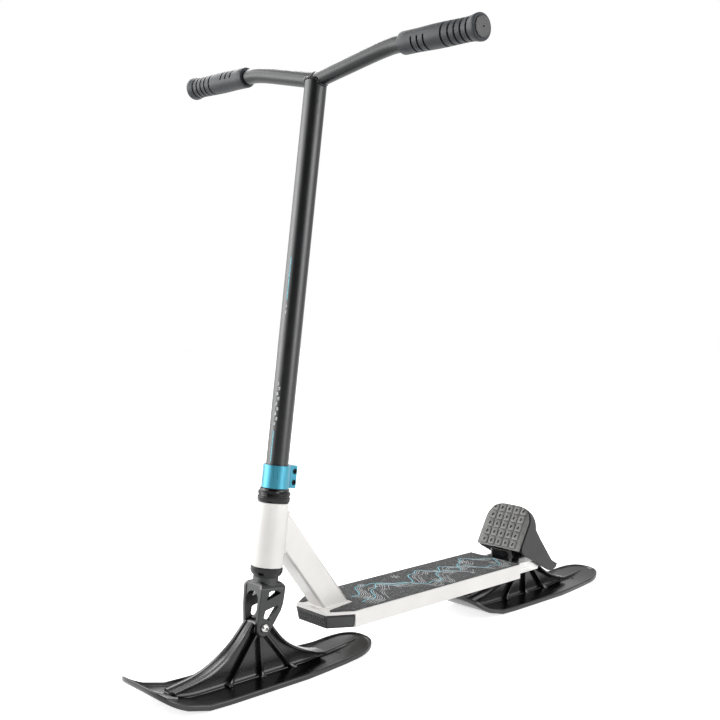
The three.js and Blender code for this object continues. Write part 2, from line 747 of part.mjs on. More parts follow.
function makeFork() {
  const [pivotY, pivotZ] = forkPivot();
  const outer = crownWidth / 2;
  const inner = outer - legThickness;
  const bossOuter = bossWidth / 2;
  const hubHalf = pivotGap / 2;
  const crownMiddle = crownTop - crownHeight / 2;
  const leg = legOutline();
  const windows = [upperWindowShares, lowerWindowShares].map((shares) => {
    return acrossX(windowPath(shares), -crownWidth, crownWidth);
  });
  // The legs lean in towards the pivot, so X grows with the height above the crown's middle.
  const lean = (outer - bossOuter) / (crownMiddle - pivotZ);
  const legs = [-1, 1].map((side) => {
    const [low, high] = side > 0 ? [inner, outer] : [-outer, -inner];
    const upright = acrossX(leg, low, high, legBevel);
    const slope = side * lean;
    return placed(upright, new THREE.Matrix4()
      .set(1, 0, slope, -slope * crownMiddle, 0, 1, 0, 0, 0, 0, 1, 0, 0, 0, 0, 1));
  });
  const flat = bossRadius - 2 * legBevel;
  const bosses = [cylinderX(flat, -bossOuter, -hubHalf, pivotY, pivotZ, smallFacets),
    cylinderX(flat, hubHalf, bossOuter, pivotY, pivotZ, smallFacets)];
  const archHalf = inner - archInset;
  const archTop = crownTop - crownHeight;
  const crownSide = forkHalfDepth - legBevel;
  const beam = box(-inner - weldSink, inner + weldSink, -crownSide, crownSide, archTop - archCorner, crownTop);
  const arch = backY(roundedRectangle(2 * archHalf, 2 * crownWidth, archCorner, 0, archTop - crownWidth),
    -crownWidth, crownWidth);
  const washerSeat = cylinderZ(compressionWasherDiameter / 2 + seatGap, archTop - crownWidth, archTop);
  const crown = cut(beam, arch, washerSeat);
  const neck = tube(crownBossDiameter / 2, steererHole / 2 - weldSink, crownTop - weldSink,
    crownTop + crownBossHeight);
  const shoulders = backY(
    roundedRectangle(crownWidth, 2 * crownWidth, crownRound, 0, crownTop - crownWidth),
    -crownWidth, crownWidth,
  ).intersect(acrossX(
    roundedRectangle(forkDepth, 2 * crownWidth, crownSideRound, 0, crownTop - crownWidth),
    -crownWidth, crownWidth,
  ));
  const trim = join(
    shoulders,
    cylinderZ(crownBossDiameter / 2 + seatGap, crownMiddle, crownTop + crownBossHeight + cutOver),
  );
  const steererSocket = cylinderZ(steererHole / 2, steererFoot - seatGap,
    crownTop + crownBossHeight + cutOver);
  const boltHole = cylinderZ(compressionBoltDiameter / 2 + seatGap, crownTop - crownHeight - cutOver,
    crownTop, smallFacets);
  const pivotHole = cylinderX(pivotBoltDiameter / 2 + seatGap, -outer, outer, pivotY, pivotZ, smallFacets);
  const hubRoom = cylinderX(hubRadius + hubClearance, -hubHalf, hubHalf, pivotY, pivotZ, smallFacets);
  const recess = pivotHeadDiameter / 2 + headRecessClearance;
  const recesses = [cylinderX(recess, -outer, -bossOuter, pivotY, pivotZ, smallFacets),
    cylinderX(recess, bossOuter, outer, pivotY, pivotZ, smallFacets)];
  return cut(join(...legs, ...bosses, crown, neck).intersect(trim), ...windows, steererSocket, boltHole,
    pivotHole, hubRoom, ...recesses);
}

// Compression bolt: up through the steerer into the star nut inside the riser.
function makeCompressionBolt() {
  const under = crownTop - crownHeight - seatGap - compressionWasherHeight - seatGap;
  const top = steererTop + starNutAboveSteerer + starNutHeight + compressionHeadHeight;
  const head = cylinderZ(compressionHeadDiameter / 2, under - compressionHeadHeight, under, smallFacets);
  const socket = cylinderZ(pivotSocketWidth / 2, under - compressionHeadHeight - cutOver,
    under - compressionHeadHeight / 2, hexagon);
  const shank = cylinderZ(compressionBoltDiameter / 2, under - weldSink / 2, top, smallFacets);
  return join(cut(head, socket), shank);
}

function makeCompressionWasher() {
  const top = crownTop - crownHeight - seatGap;
  return tube(compressionWasherDiameter / 2, compressionBoltDiameter / 2 + seatGap,
    top - compressionWasherHeight, top, smallFacets);
}

function makeStarNut() {
  const low = steererTop + starNutAboveSteerer;
  const bore = compressionBoltDiameter / 2 + seatGap;
  const tip = riserBore / 2 - seatGap;
  const star = (from) => {
    const shape = new THREE.Shape();
    for (let i = 0; i < 2 * starNutTeeth; i += 1) {
      const angle = Math.PI * i / starNutTeeth;
      const radius = i % 2 ? (tip + starNutSleeve / 2) / 2 : tip;
      const [a, b] = [radius * Math.cos(angle), radius * Math.sin(angle)];
      if (i === 0) shape.moveTo(a, b);
      else shape.lineTo(a, b);
    }
    shape.closePath();
    return upZ(shape, from, from + starNutDisc);
  };
  const sleeve = tube(starNutSleeve / 2, bore, low, low + starNutHeight, smallFacets);
  const hole = cylinderZ(bore, low - cutOver, low + starNutHeight + cutOver, smallFacets);
  return cut(join(sleeve, star(low + starNutDisc)), hole);
}

// Ski: a shallow tray bent up at both ends, with a ribbed fin that carries the hub.
function skiUnder(y) {
  const nose = Math.max(0, -y - skiNoseBendStart) / (skiNoseReach - skiNoseBendStart);
  const tail = Math.max(0, y - skiTailBendStart) / (skiTailReach - skiTailBendStart);
  return skiNoseRise * nose ** skiBendPower + skiTailRise * tail ** skiBendPower;
}

function skiLine() {
  const ys = [];
  for (let i = 0; i <= noseBendSteps; i += 1) {
    ys.push(-skiNoseReach + (skiNoseReach - skiNoseBendStart) * i / noseBendSteps);
  }
  for (let i = 0; i <= tailBendSteps; i += 1) {
    ys.push(skiTailBendStart + (skiTailReach - skiTailBendStart) * i / tailBendSteps);
  }
  return ys;
}

// A band of the ski's side view; its lower face can climb by a fill towards the tail's end.
function skiBand(low, high, fill = 0) {
  const ys = skiLine();
  const run = skiTailReach - skiTailBendStart;
  const under = ys.map((y) => [y, skiUnder(y) + low + fill * Math.max(0, y - skiTailBendStart) / run]);
  const over = ys.map((y) => [y, skiUnder(y) + high]).reverse();
  return acrossX(outlineShape([...under, ...over]), -skiWidth, skiWidth);
}

function skiPlan(inset) {
  const half = skiWidth / 2 - inset;
  const tailHalf = skiTailWidth / 2 - inset;
  const nose = [];
  const tail = [];
  for (let i = 0; i <= outlineSteps; i += 1) {
    const angle = (Math.PI / 2) * i / outlineSteps;
    const [c, s] = [Math.cos(angle), Math.sin(angle)];
    nose.push([half * s ** (2 / noseRoundPower),
      -(skiNoseReach - skiNoseTaper) - (skiNoseTaper - inset) * c ** (2 / noseRoundPower)]);
    tail.push([tailHalf * c ** (2 / tailRoundPower),
      skiTailReach - skiTailTaper + (skiTailTaper - inset) * s ** (2 / tailRoundPower)]);
  }
  const right = [...nose, [half, skiNarrowStart], ...tail];
  const left = right.slice(1, -1).reverse().map(([x, y]) => [-x, y]);
  return outlineShape([...right, ...left]);
}

// Ridge of the fin: shares of the reach from the pivot, and of the pivot's height.
const frontRidgeShares = [[0.727, 0.262], [0.624, 0.3], [0.541, 0.333], [0.454, 0.387], [0.366, 0.48],
  [0.28, 0.613], [0.193, 0.8], [0.109, 1.04], [0.076, 1.128]];
const rearRidgeShares = [[0.09, 1.02], [0.123, 0.897], [0.167, 0.747], [0.213, 0.62], [0.259, 0.525],
  [0.304, 0.447], [0.4, 0.32], [0.5, 0.22], [0.578, 0.173]];

function ridgePoints() {
  const front = frontRidgeShares.map(([a, b]) => [-a * skiNoseReach, b * pivotHeight]);
  const rear = rearRidgeShares.map(([a, b]) => [a * skiTailReach, b * pivotHeight]);
  return [...front, ...rear];
}

function finOutline(drop) {
  const ridge = ridgePoints().map(([y, z]) => [y, z - drop]);
  const first = ridge[0][0];
  const last = ridge[ridge.length - 1][0];
  const foot = skiFloor - weldSink;
  return outlineShape([[first, foot], ...[[last, foot]], ...ridge.reverse()]);
}

// A strip that follows the ridge, from its top down to the flange's thickness.
function flangeStrip(points, from, drop, width) {
  const over = points.map(([y, z]) => [y, z - from]);
  const normalDrop = points.map(([y, z], i) => {
    const a = points[Math.max(0, i - 1)];
    const b = points[Math.min(points.length - 1, i + 1)];
    const length = Math.hypot(b[0] - a[0], b[1] - a[1]);
    return [y + drop * (b[1] - a[1]) / length, z - drop * (b[0] - a[0]) / length];
  });
  return acrossX(outlineShape([...over, ...normalDrop.reverse()]), -width / 2, width / 2);
}

function ribStrip(footY) {
  const top = new THREE.Vector2(0, pivotHeight);
  const foot = new THREE.Vector2(footY, skiFloor - weldSink);
  const along = foot.clone().sub(top).normalize();
  const side = new THREE.Vector2(-along.y, along.x).multiplyScalar(ribThickness / 2);
  const outline = outlineShape([
    [top.x + side.x, top.y + side.y], [top.x - side.x, top.y - side.y],
    [foot.x - side.x, foot.y - side.y], [foot.x + side.x, foot.y + side.y],
  ]);
  return acrossX(outline, -ribWidth / 2, ribWidth / 2);
}

// Rib feet, as shares of the nose's reach, behind the pivot
const ribFootShares = [-0.272, 0.017, 0.295];

// Plan of the flanges: they narrow towards the hub, to fit between the fork's legs.
function flangePlan() {
  const wide = flangeWidth / 2;
  const narrow = hubWidth / 2;
  return outlineShape([
    [narrow, -flangeTaperEnd], [wide, -flangeTaperStart], [wide, -skiNoseReach],
    [-wide, -skiNoseReach], [-wide, -flangeTaperStart], [-narrow, -flangeTaperEnd],
    [-narrow, flangeTaperEnd], [-wide, flangeTaperStart], [-wide, skiTailReach],
    [wide, skiTailReach], [wide, flangeTaperStart], [narrow, flangeTaperEnd],
  ]);
}

function makeSki() {
  const blade = skiBand(0, skiRimHeight).intersect(upZ(skiPlan(0), -cutOver, pivotHeight));
  const tailFill = skiRimHeight - skiFloor - skiTailRim;
  const tray = skiBand(skiFloor, skiRimHeight + cutOver, tailFill).intersect(
    upZ(skiPlan(skiRimWidth), -cutOver, pivotHeight),
  );
  const fin = acrossX(finOutline(weldSink), -finThickness / 2, finThickness / 2)
    .intersect(skiBand(skiFloor - weldSink, 2 * pivotHeight));
  const ridge = ridgePoints();
  const frontRidge = ridge.slice(0, frontRidgeShares.length);
  const rearRidge = ridge.slice(frontRidgeShares.length);
  const frontEnd = frontRidge[0][0];
  const rearEnd = rearRidge[rearRidge.length - 1][0];
  const strips = join(flangeStrip(frontRidge, 0, flangeThickness, flangeWidth),
    flangeStrip(rearRidge, 0, flangeThickness, flangeWidth));
  const flanges = strips.intersect(upZ(flangePlan(), -cutOver, 2 * pivotHeight));
  const wide = flangeWidth / 2;
  const narrow = finThickness / 2;
  const noseSpine = outlineShape([
    [narrow, -skiNoseReach], [wide, frontEnd], [wide, frontEnd + flangeThickness],
    [-wide, frontEnd + flangeThickness], [-wide, frontEnd], [-narrow, -skiNoseReach],
  ]);
  const spineRoom = join(
    upZ(noseSpine, -cutOver, pivotHeight),
    box(-narrow, narrow, rearEnd - flangeThickness, skiTailReach - skiTailRidgeEnd, -cutOver, pivotHeight),
  );
  const spine = skiBand(skiFloor - weldSink, skiFloor + spineHeight)
    .intersect(spineRoom)
    .intersect(upZ(skiPlan(skiRimWidth / 2), -cutOver, pivotHeight));
  // The groove runs out over the flange's front end, at the slope of its first length.
  const [[tipY, tipZ], [nextY, nextZ]] = frontRidge;
  const runOut = [tipY - cutOver, tipZ - cutOver * (nextZ - tipZ) / (nextY - tipY)];
  const groove = flangeStrip([runOut, ...frontRidge], -2 * flangeGrooveDepth, flangeGrooveDepth,
    flangeGrooveWidth);
  const ribs = ribFootShares.map((share) => ribStrip(share * skiNoseReach));
  const finFoot = box(-finFootWidth / 2, finFootWidth / 2, -skiNoseBendStart, rearEnd - flangeThickness,
    skiFloor - weldSink, skiFloor + finFootHeight);
  const hub = cylinderX(hubRadius, -hubWidth / 2, hubWidth / 2, 0, pivotHeight, smallFacets);
  const bore = cylinderX(pivotBoltDiameter / 2 + 2 * seatGap + sleeveWall, -hubWidth, hubWidth,
    0, pivotHeight, smallFacets);
  return cut(join(cut(blade, tray), fin, flanges, spine, ...ribs, finFoot, hub), groove, bore);
}

function makeSleeve() {
  const inner = pivotBoltDiameter / 2 + seatGap;
  const upright = tube(inner + sleeveWall, inner, -hubWidth / 2, hubWidth / 2, smallFacets);
  return placed(upright, new THREE.Matrix4().makeRotationY(Math.PI / 2).setPosition(0, 0, pivotHeight));
}

function pivotBoltSize() {
  return {
    head: pivotHeadDiameter, headHeight: pivotHeadHeight, shank: pivotBoltDiameter,
    socket: pivotSocketWidth, socketDepth: pivotSocketDepth,
  };
}

function makePivotBolt(half, y, z) {
  const face = half + seatGap;
  return buttonBolt(y, z, face, -face - pivotNutHeight - seatGap, pivotBoltSize());
}

function makePivotNut(half, y, z) {
  const face = -half - seatGap;
  const corner = pivotNutWidth / 2 / Math.cos(Math.PI / hexagon);
  const body = cylinderX(corner, face - pivotNutHeight, face, y, z, hexagon);
  return cut(body, cylinderX(pivotBoltDiameter / 2 + seatGap, face - pivotNutHeight - cutOver,
    face + cutOver, y, z, smallFacets));
}

// Handlebar
function makeRiser() {
  const body = tube(riserDiameter / 2, riserBore / 2, riserFoot, barJunction + crossbarDiameter);
  const slit = box(-riserSlitWidth / 2, riserSlitWidth / 2, 0, riserDiameter,
    riserFoot - cutOver, riserFoot + riserSlitLength);
  const saddle = [-1, 1].map((side) => barRod(side, crossbarDiameter / 2 + seatGap, 0, barFacets));
  const cap = box(-riserDiameter, riserDiameter, -riserDiameter, riserDiameter,
    barJunction, barJunction + 2 * crossbarDiameter);
  return cut(body, slit, ...saddle, cap);
}

function barPoints(side) {
  const start = new THREE.Vector3(0, 0, 0);
  const bend = new THREE.Vector3(barBendSpan, barBendBehind, barBendRise);
  const end = new THREE.Vector3(barHalfSpan, -barEndForward, barEndRise);
  const into = bend.clone().sub(bend.clone().sub(start).setLength(barBendLead));
  const out = bend.clone().add(end.clone().sub(bend).setLength(barBendTrail));
  return [start, into, bend, out, end].map((point) => {
    return new THREE.Vector3(side * point.x, point.y, point.z + barJunction);
  });
}

// Points of the swept path, run past both ends by the given length.
function barStations(side, over) {
  const [start, into, bend, out, end] = barPoints(side);
  const first = start.clone().sub(into).setLength(crossbarDiameter + over).add(start);
  const last = end.clone().sub(out).setLength(over).add(end);
  const curve = new THREE.QuadraticBezierCurve3(into, bend, out);
  return [first, ...curve.getPoints(barBendSteps), last];
}

function ringOf(point, direction, radius, facets) {
  const up = new THREE.Vector3(0, 0, 1);
  const side = direction.clone().cross(up).normalize();
  const lift = side.clone().cross(direction).normalize();
  const ring = [];
  for (let i = 0; i < facets; i += 1) {
    const angle = 2 * Math.PI * i / facets;
    ring.push(point.clone()
      .addScaledVector(side, radius * Math.cos(angle))
      .addScaledVector(lift, radius * Math.sin(angle)));
  }
  return ring;
}

function barRod(side, radius, over, facets) {
  const stations = barStations(side, over);
  const positions = [];
  const index = [];
  stations.forEach((point, i) => {
    const before = stations[Math.max(0, i - 1)];
    const after = stations[Math.min(stations.length - 1, i + 1)];
    const direction = after.clone().sub(before).normalize();
    ringOf(point, direction, radius, facets).forEach((corner) => positions.push(...corner.toArray()));
  });
  for (let i = 0; i < stations.length - 1; i += 1) {
    for (let j = 0; j < facets; j += 1) {
      const [a, b] = [i * facets + j, i * facets + (j + 1) % facets];
      index.push(a, b, b + facets, a, b + facets, a + facets);
    }
  }
  const last = (stations.length - 1) * facets;
  for (let j = 1; j < facets - 1; j += 1) {
    index.push(0, j + 1, j, last, last + j, last + j + 1);
  }
  const geometry = new THREE.BufferGeometry();
  geometry.setAttribute('position', new THREE.Float32BufferAttribute(positions, 3));
  geometry.setIndex(index);
  const solid = toSolid(geometry);
  return solid.volume() > 0 ? solid : toSolid(flipped(geometry));
}

function makeBarArm(side) {
  const arm = cut(barRod(side, crossbarDiameter / 2, 0, barFacets),
    barRod(side, crossbarBore / 2, cutOver, boreFacets));
  const reach = barJunction;
  const half = seatGap / 2;
  const other = side > 0
    ? box(-reach, half, -reach, reach, 0, 2 * reach)
    : box(-half, reach, -reach, reach, 0, 2 * reach);
  return cut(arm, other);
}

// Frame at a bar's outer end: +Z points outward along the grip.
function gripGroup(side) {
  const [, , , out, end] = barPoints(side);
  const group = new THREE.Group();
  const outward = end.clone().sub(out).normalize();
  group.position.copy(end);
  group.quaternion.setFromUnitVectors(new THREE.Vector3(0, 0, 1), outward);
  return group;
}

function makeGrip() {
  const bore = crossbarDiameter / 2 + seatGap;
  const body = gripDiameter / 2;
  const collar = gripCollarDiameter / 2;
  const flange = gripFlangeDiameter / 2;
  const z = (fromInner) => fromInner - gripLength;
  const profile = [[bore, z(0)], [collar - gripRingDepth * 2, z(0)], [collar, z(gripRingDepth * 2)],
    [collar, z(gripCollarLength)], [body, z(gripSlotStart + gripSlotPitch)]];
  for (let i = 0; i < gripRingCount; i += 1) {
    const at = gripRingStart + i * gripRingPitch;
    profile.push([body, z(at)], [body - gripRingDepth, z(at + gripRingWidth)]);
  }
  profile.push(
    [body, z(gripLength - gripFlangeLength - gripFlareLength)],
    [flange - gripRingDepth, z(gripLength - gripFlangeLength)],
    [flange, z(gripLength - gripFlangeLength + gripRingDepth)],
    [flange, z(gripLength - gripRingDepth)],
    [flange - gripRingDepth, z(gripLength)], [bore, z(gripLength)],
  );
  const rubber = turned(profile, gripFacets);
  const slots = [];
  for (let i = 0; i < gripSlotCount; i += 1) {
    const at = z(gripSlotStart + i * gripSlotPitch);
    const ring = tube(gripDiameter, body - gripSlotDepth, at - gripSlotWidth / 2, at + gripSlotWidth / 2,
      gripFacets);
    const window = box(-body / 2, gripDiameter, -gripDiameter, body / 2,
      at - gripSlotWidth, at + gripSlotWidth);
    slots.push(ring.intersect(window));
  }
  return cut(rubber, ...slots);
}

// Dome of the plug: shares of its radius and of its thickness.
const plugDomeShares = [[1, 0.4], [0.86, 0.85], [0.5, 1]];

function makeBarPlug() {
  const spigot = crossbarBore / 2 - seatGap;
  const face = plugDiameter / 2;
  const low = seatGap;
  const body = turned([
    [0, -plugSpigotLength], [spigot, -plugSpigotLength], [spigot, low], [face, low],
    ...plugDomeShares.map(([across, up]) => [across * face, low + up * plugThickness]),
    [0, low + plugThickness],
  ], smallFacets);
  return cut(body, cylinderZ(plugHoleDiameter / 2, plugThickness - plugHoleDepth, plugThickness + cutOver,
    smallFacets));
}

// Clamp: a split ring with a lobe towards the rider and two bolts across it.
function clampBoltHeights() {
  const middle = clampBottom + clampHeight / 2;
  return [middle - clampBoltPitch / 2, middle + clampBoltPitch / 2];
}

function makeClamp() {
  const top = clampBottom + clampHeight;
  const ring = cylinderZ(clampOuter, clampBottom, top);
  const lobePlan = softened([
    [-clampLobeWidth / 2, 0], [clampLobeWidth / 2, 0],
    [clampLobeWidth / 2, clampLobeReach], [-clampLobeWidth / 2, clampLobeReach],
  ], lobeCornerShare);
  const lobe = upZ(lobePlan, clampBottom, top);
  const bore = cylinderZ(riserDiameter / 2 + seatGap, clampBottom - cutOver, top + cutOver);
  const slit = box(-clampSlit / 2, clampSlit / 2, 0, clampLobeReach + cutOver,
    clampBottom - cutOver, top + cutOver);
  const at = clampLobeReach - clampBoltInset;
  const holes = clampBoltHeights().flatMap((height) => [
    cylinderX(clampBoltDiameter / 2 + seatGap, -clampLobeWidth, clampLobeWidth, at, height, smallFacets),
    cylinderX(clampHeadDiameter / 2 + seatGap, clampLobeWidth / 2 - clampHeadHeight + seatGap,
      clampLobeWidth, at, height, smallFacets),
  ]);
  return cut(join(ring, lobe), bore, slit, ...holes);
}

function makeClampBolt(height) {
  const size = {
    head: clampHeadDiameter, headHeight: clampHeadHeight - seatGap, shank: clampBoltDiameter,
    socket: clampSocketWidth, socketDepth: clampSocketDepth,
  };
  return buttonBolt(clampLobeReach - clampBoltInset, height,
    clampLobeWidth / 2 - clampHeadHeight + 2 * seatGap, -clampLobeWidth / 2, size);
}

// Rear bracket: a channel under the deck, open behind for the ski's fin, with two ears.
function makeRearBracket() {
  const front = deckLength - bracketInsideDeck;
  const rear = deckLength + bracketBehindDeck;
  const half = bracketWidth / 2;
  const body = box(-half, half, front, rear, bracketUnder, bracketTop);
  const room = box(-half + bracketWall, half - bracketWall, front - cutOver, rear + cutOver,
    bracketUnder - cutOver, bracketTop - bracketWall);
  const slot = join(
    box(-pivotGap / 2, pivotGap / 2, rearPivotY - bracketSlotAhead, rear + cutOver,
      bracketUnder - cutOver, bracketTop + cutOver),
    box(-bracketSlotWidth / 2, bracketSlotWidth / 2, rearPivotY - bracketSlotAhead,
      rearPivotY - bracketEarReach, bracketUnder - cutOver, bracketTop + cutOver),
  );
  const frontTaper = acrossX(outlineShape([
    [front - cutOver, bracketUnder - cutOver], [front + bracketDepth, bracketUnder - cutOver],
    [front - cutOver, bracketTop - bracketWall],
  ]), -half - cutOver, half + cutOver);
  const rearTaper = acrossX(outlineShape([
    [rear + cutOver, bracketUnder - cutOver], [rear + cutOver, bracketTop - bracketWall],
    [rear - bracketTaper, bracketUnder - cutOver],
  ]), -half - cutOver, half + cutOver);
  const ear = new THREE.Shape();
  ear.moveTo(rearPivotY - bracketEarReach, bracketUnder);
  ear.lineTo(rearPivotY + bracketEarRadius, bracketUnder);
  ear.lineTo(rearPivotY + bracketEarRadius, pivotHeight);
  ear.absarc(rearPivotY, pivotHeight, bracketEarRadius, 0, Math.PI);
  ear.lineTo(rearPivotY - bracketEarReach, bracketTop);
  ear.closePath();
  const inner = pivotGap / 2;
  const outer = inner + bracketEarThickness;
  const ears = [acrossX(ear, -outer, -inner), acrossX(ear, inner, outer)];
  const pivotHole = cylinderX(pivotBoltDiameter / 2 + seatGap, -outer - cutOver, outer + cutOver,
    rearPivotY, pivotHeight, smallFacets);
  const screwHoles = blockScrewPlaces().map(([x, y]) => {
    const hole = cylinderZ(blockScrewDiameter / 2 + seatGap, bracketUnder, bracketTop + cutOver, smallFacets);
    return shifted(hole, x, y, 0);
  });
  const relief = [-1, 1].map((side) => {
    const near = side * (pivotGap / 2 + bracketEarThickness);
    const far = side * (half - bracketWall);
    return box(Math.min(near, far), Math.max(near, far), rearPivotY - pivotNutWidth,
      rear + cutOver, bracketUnder - cutOver, bracketTop + cutOver);
  });
  const plate = cut(body, room, slot, frontTaper, rearTaper, ...relief);
  return cut(join(plate, ...ears), pivotHole, ...bracketBoltHoles(bracketUnder - cutOver), ...screwHoles);
}

function makeBracketBolt(x, y) {
  const under = bracketTop - bracketWall - seatGap;
  const corner = bracketHeadDiameter / 2 / Math.cos(Math.PI / hexagon);
  const head = cylinderZ(corner, under - bracketHeadHeight, under, hexagon);
  const shank = cylinderZ(bracketBoltDiameter / 2, under - weldSink / 2, deckTopHeight, smallFacets);
  return shifted(join(head, shank), x, y, 0);
}

// Foot stop
const padFootY = deckLength + padFootBehindDeck;
const padFootZ = deckTopHeight + padFootAboveDeck;
const blockFront = padFootY + padThickness / 2;
const blockRear = blockFront + blockLength;

function blockScrewPlaces() {
  return [-1, 1].map((side) => [side * blockScrewSpread, (blockFront + blockRear) / 2]);
}

// Frame of the pad: its foot at the origin, +Z up its slope, -Y towards the rider.
function padGroup() {
  const group = new THREE.Group();
  group.position.set(0, padFootY, padFootZ);
  group.rotation.x = padLean - Math.PI / 2;
  return group;
}

function padSolid(solid) {
  return placed(solid, new THREE.Matrix4().makeRotationX(padLean - Math.PI / 2)
    .setPosition(0, padFootY, padFootZ));
}

function padOutline(width, length, corner) {
  const shape = new THREE.Shape();
  const half = width / 2;
  shape.moveTo(-half, 0);
  shape.lineTo(half, 0);
  shape.lineTo(half, length - corner);
  shape.absarc(half - corner, length - corner, corner, 0, Math.PI / 2);
  shape.absarc(-half + corner, length - corner, corner, Math.PI / 2, Math.PI);
  shape.closePath();
  return shape;
}

function makePad() {
  const plate = backY(padOutline(padWidth, padLength, padCorner), 0, padThickness - seatGap);
  const trim = backY(padOutline(padWidth, padLength, padCorner), -studHeight - cutOver, padThickness);
  const studs = [];
  const holes = [];
  for (let row = 0; row < studCount; row += 1) {
    for (let column = 0; column < studCount; column += 1) {
      const x = (column - (studCount - 1) / 2) * studPitchAcross;
      const z = studFirstRow + row * studPitchUp;
      const half = studSize / 2;
      studs.push(box(x - half, x + half, -studHeight, weldSink, z - half, z + half));
      const hole = studHoleSize / 2;
      holes.push(box(x - hole, x + hole, -studHeight - cutOver, studHoleDepth - studHeight,
        z - hole, z + hole));
    }
  }
  return cut(join(plate, ...studs).intersect(trim), ...holes);
}

// Shell outline: shares of its run behind the pad's top, and of its height or its tail's drop.
const shellRearShares = [[0.11, 1.06], [0.05, 0.5], [0.247, 0.2]];
const shellTailShares = [[0.754, 0.62], [1, 0.8], [0.899, 1], [0.652, 0.98]];

function shellY(share) {
  const padTop = padSolidPoint(padThickness, padLength)[0];
  return padTop + share * (padFootY + shellReach - padTop);
}

function shellOutline() {
  const frontLow = padSolidPoint(padThickness, 0);
  const frontHigh = padSolidPoint(padThickness, padLength);
  const rear = shellRearShares.map(([a, b]) => [shellY(a), padFootZ + b * shellHeight]);
  const tail = shellTailShares.map(([a, b]) => [shellY(a), padFootZ - b * shellTailDrop]);
  return [frontLow, frontHigh, ...rear, ...tail];
}

function padSolidPoint(back, up) {
  const lean = padLean;
  return [
    padFootY + back * Math.sin(lean) + up * Math.cos(lean),
    padFootZ - back * Math.cos(lean) + up * Math.sin(lean),
  ];
}

function makeShell() {
  const half = shellWidth / 2;
  const body = acrossX(softened(shellOutline(), shellCornerShare), -half, half);
  const crown = padSolid(backY(padOutline(shellWidth, padLength, padCorner), -padLength, shellReach));
  const lowPart = box(-half - cutOver, half + cutOver, padFootY - cutOver, padFootY + 2 * shellReach,
    deckUnder - cutOver, padFootZ + shellHeight / 4);
  const rounded = body.intersect(crown.add(lowPart));
  const inner = half - shellWall;
  const behindPlate = padSolid(box(-padWidth, padWidth, padThickness + shellWall, 2 * shellReach,
    -2 * shellReach, 2 * shellReach));
  const roof = padSolid(box(-padWidth, padWidth, -padLength, 2 * padLength,
    -padLength, padLength - shellWall));
  const backLimit = box(-inner, inner, padFootY, shellY(shellRearShares[1][0]) - shellWall,
    deckUnder - shellTailDrop, padFootZ + shellHeight);
  const lowRoom = box(-inner, inner, padFootY, padFootY + 2 * shellReach,
    deckUnder - shellTailDrop, padFootZ + shellRoomShare * shellHeight);
  const taperedCrown = padSolid(backY(padOutline(2 * inner, padLength - shellWall, padCorner - shellWall),
    -padLength, 2 * shellReach));
  const room = backLimit.intersect(taperedCrown).intersect(roof).add(lowRoom).intersect(behindPlate);
  return cut(rounded, room);
}

function makeFootStopBlock() {
  const low = bracketTop + seatGap;
  const plan = new THREE.Shape();
  const half = blockWidth / 2;
  const corner = blockLength * blockCornerShare;
  plan.moveTo(-half, blockRear);
  plan.lineTo(-half, blockFront + corner);
  plan.absarc(-half + corner, blockFront + corner, corner, Math.PI, Math.PI * 1.5);
  plan.absarc(half - corner, blockFront + corner, corner, Math.PI * 1.5, Math.PI * 2);
  plan.lineTo(half, blockRear);
  plan.closePath();
  const body = upZ(plan, low, padFootZ + shellHeight);
  const behindShell = padSolid(box(-padWidth, padWidth, -shellReach, padThickness + shellWall + seatGap,
    -padLength, 2 * padLength));
  const underShell = padSolid(box(-padWidth, padWidth, -shellReach, padThickness + seatGap,
    -padLength, 2 * padLength));
  const head = box(-padWidth, padWidth, blockFront - cutOver, blockRear + cutOver,
    padFootZ + blockNeckHeight, padFootZ + 2 * shellHeight);
  const plateFoot = box(-padWidth, padWidth, blockFront - cutOver, blockRear + cutOver,
    padSolidPoint(padThickness, 0)[1] - shellWall, padFootZ + 2 * shellHeight);
  const screws = blockScrewPlaces().map(([x, y]) => {
    const hole = cylinderZ(blockScrewDiameter / 2 + seatGap, low - cutOver, padFootZ, smallFacets);
    return shifted(hole, x, y, 0);
  });
  return cut(body, behindShell.intersect(plateFoot), underShell.intersect(plateFoot), head, ...screws);
}

function makeBlockScrew(x, y) {
  const under = bracketTop - bracketWall - seatGap;
  const head = cylinderZ(blockScrewHead / 2, under - blockScrewHeadHeight, under, smallFacets);
  const socket = cylinderZ(clampSocketWidth / 2, under - blockScrewHeadHeight - cutOver,
    under - blockScrewHeadHeight / 2, hexagon);
  const shank = cylinderZ(blockScrewDiameter / 2, under - weldSink / 2, padFootZ - cutOver, smallFacets);
  return shifted(join(cut(head, socket), shank), x, y, 0);
}

// Frame
const frame = new THREE.Group();
scooter.add(frame);
addPart(frame, 'deck', 'whitePaint', makeDeck());
addPart(frame, 'grip_tape', 'gripTape', makeGripTape());
addPart(frame, 'nose_bumper', 'darkPlastic', makeNoseBumper());
addPart(frame, 'down_tube', 'whitePaint', makeDownTube());

const steeringLine = new THREE.Group();
steeringLine.position.set(0, axisY, deckTopHeight);
steeringLine.rotation.x = -rake;
scooter.add(steeringLine);
addPart(steeringLine, 'head_tube', 'whitePaint', makeHeadTube());
addPart(steeringLine, 'lower_headset_cup', 'blackAlloy', makeCup(headTubeBottom - seatGap, -1));
addPart(steeringLine, 'upper_headset_cup', 'blackAlloy', makeCup(headTubeTop + seatGap, 1));
addPart(steeringLine, 'lower_bearing', 'bearingSteel', makeBearing(headTubeBottom - seatGap, -1));
addPart(steeringLine, 'upper_bearing', 'bearingSteel', makeBearing(headTubeTop + seatGap, 1));

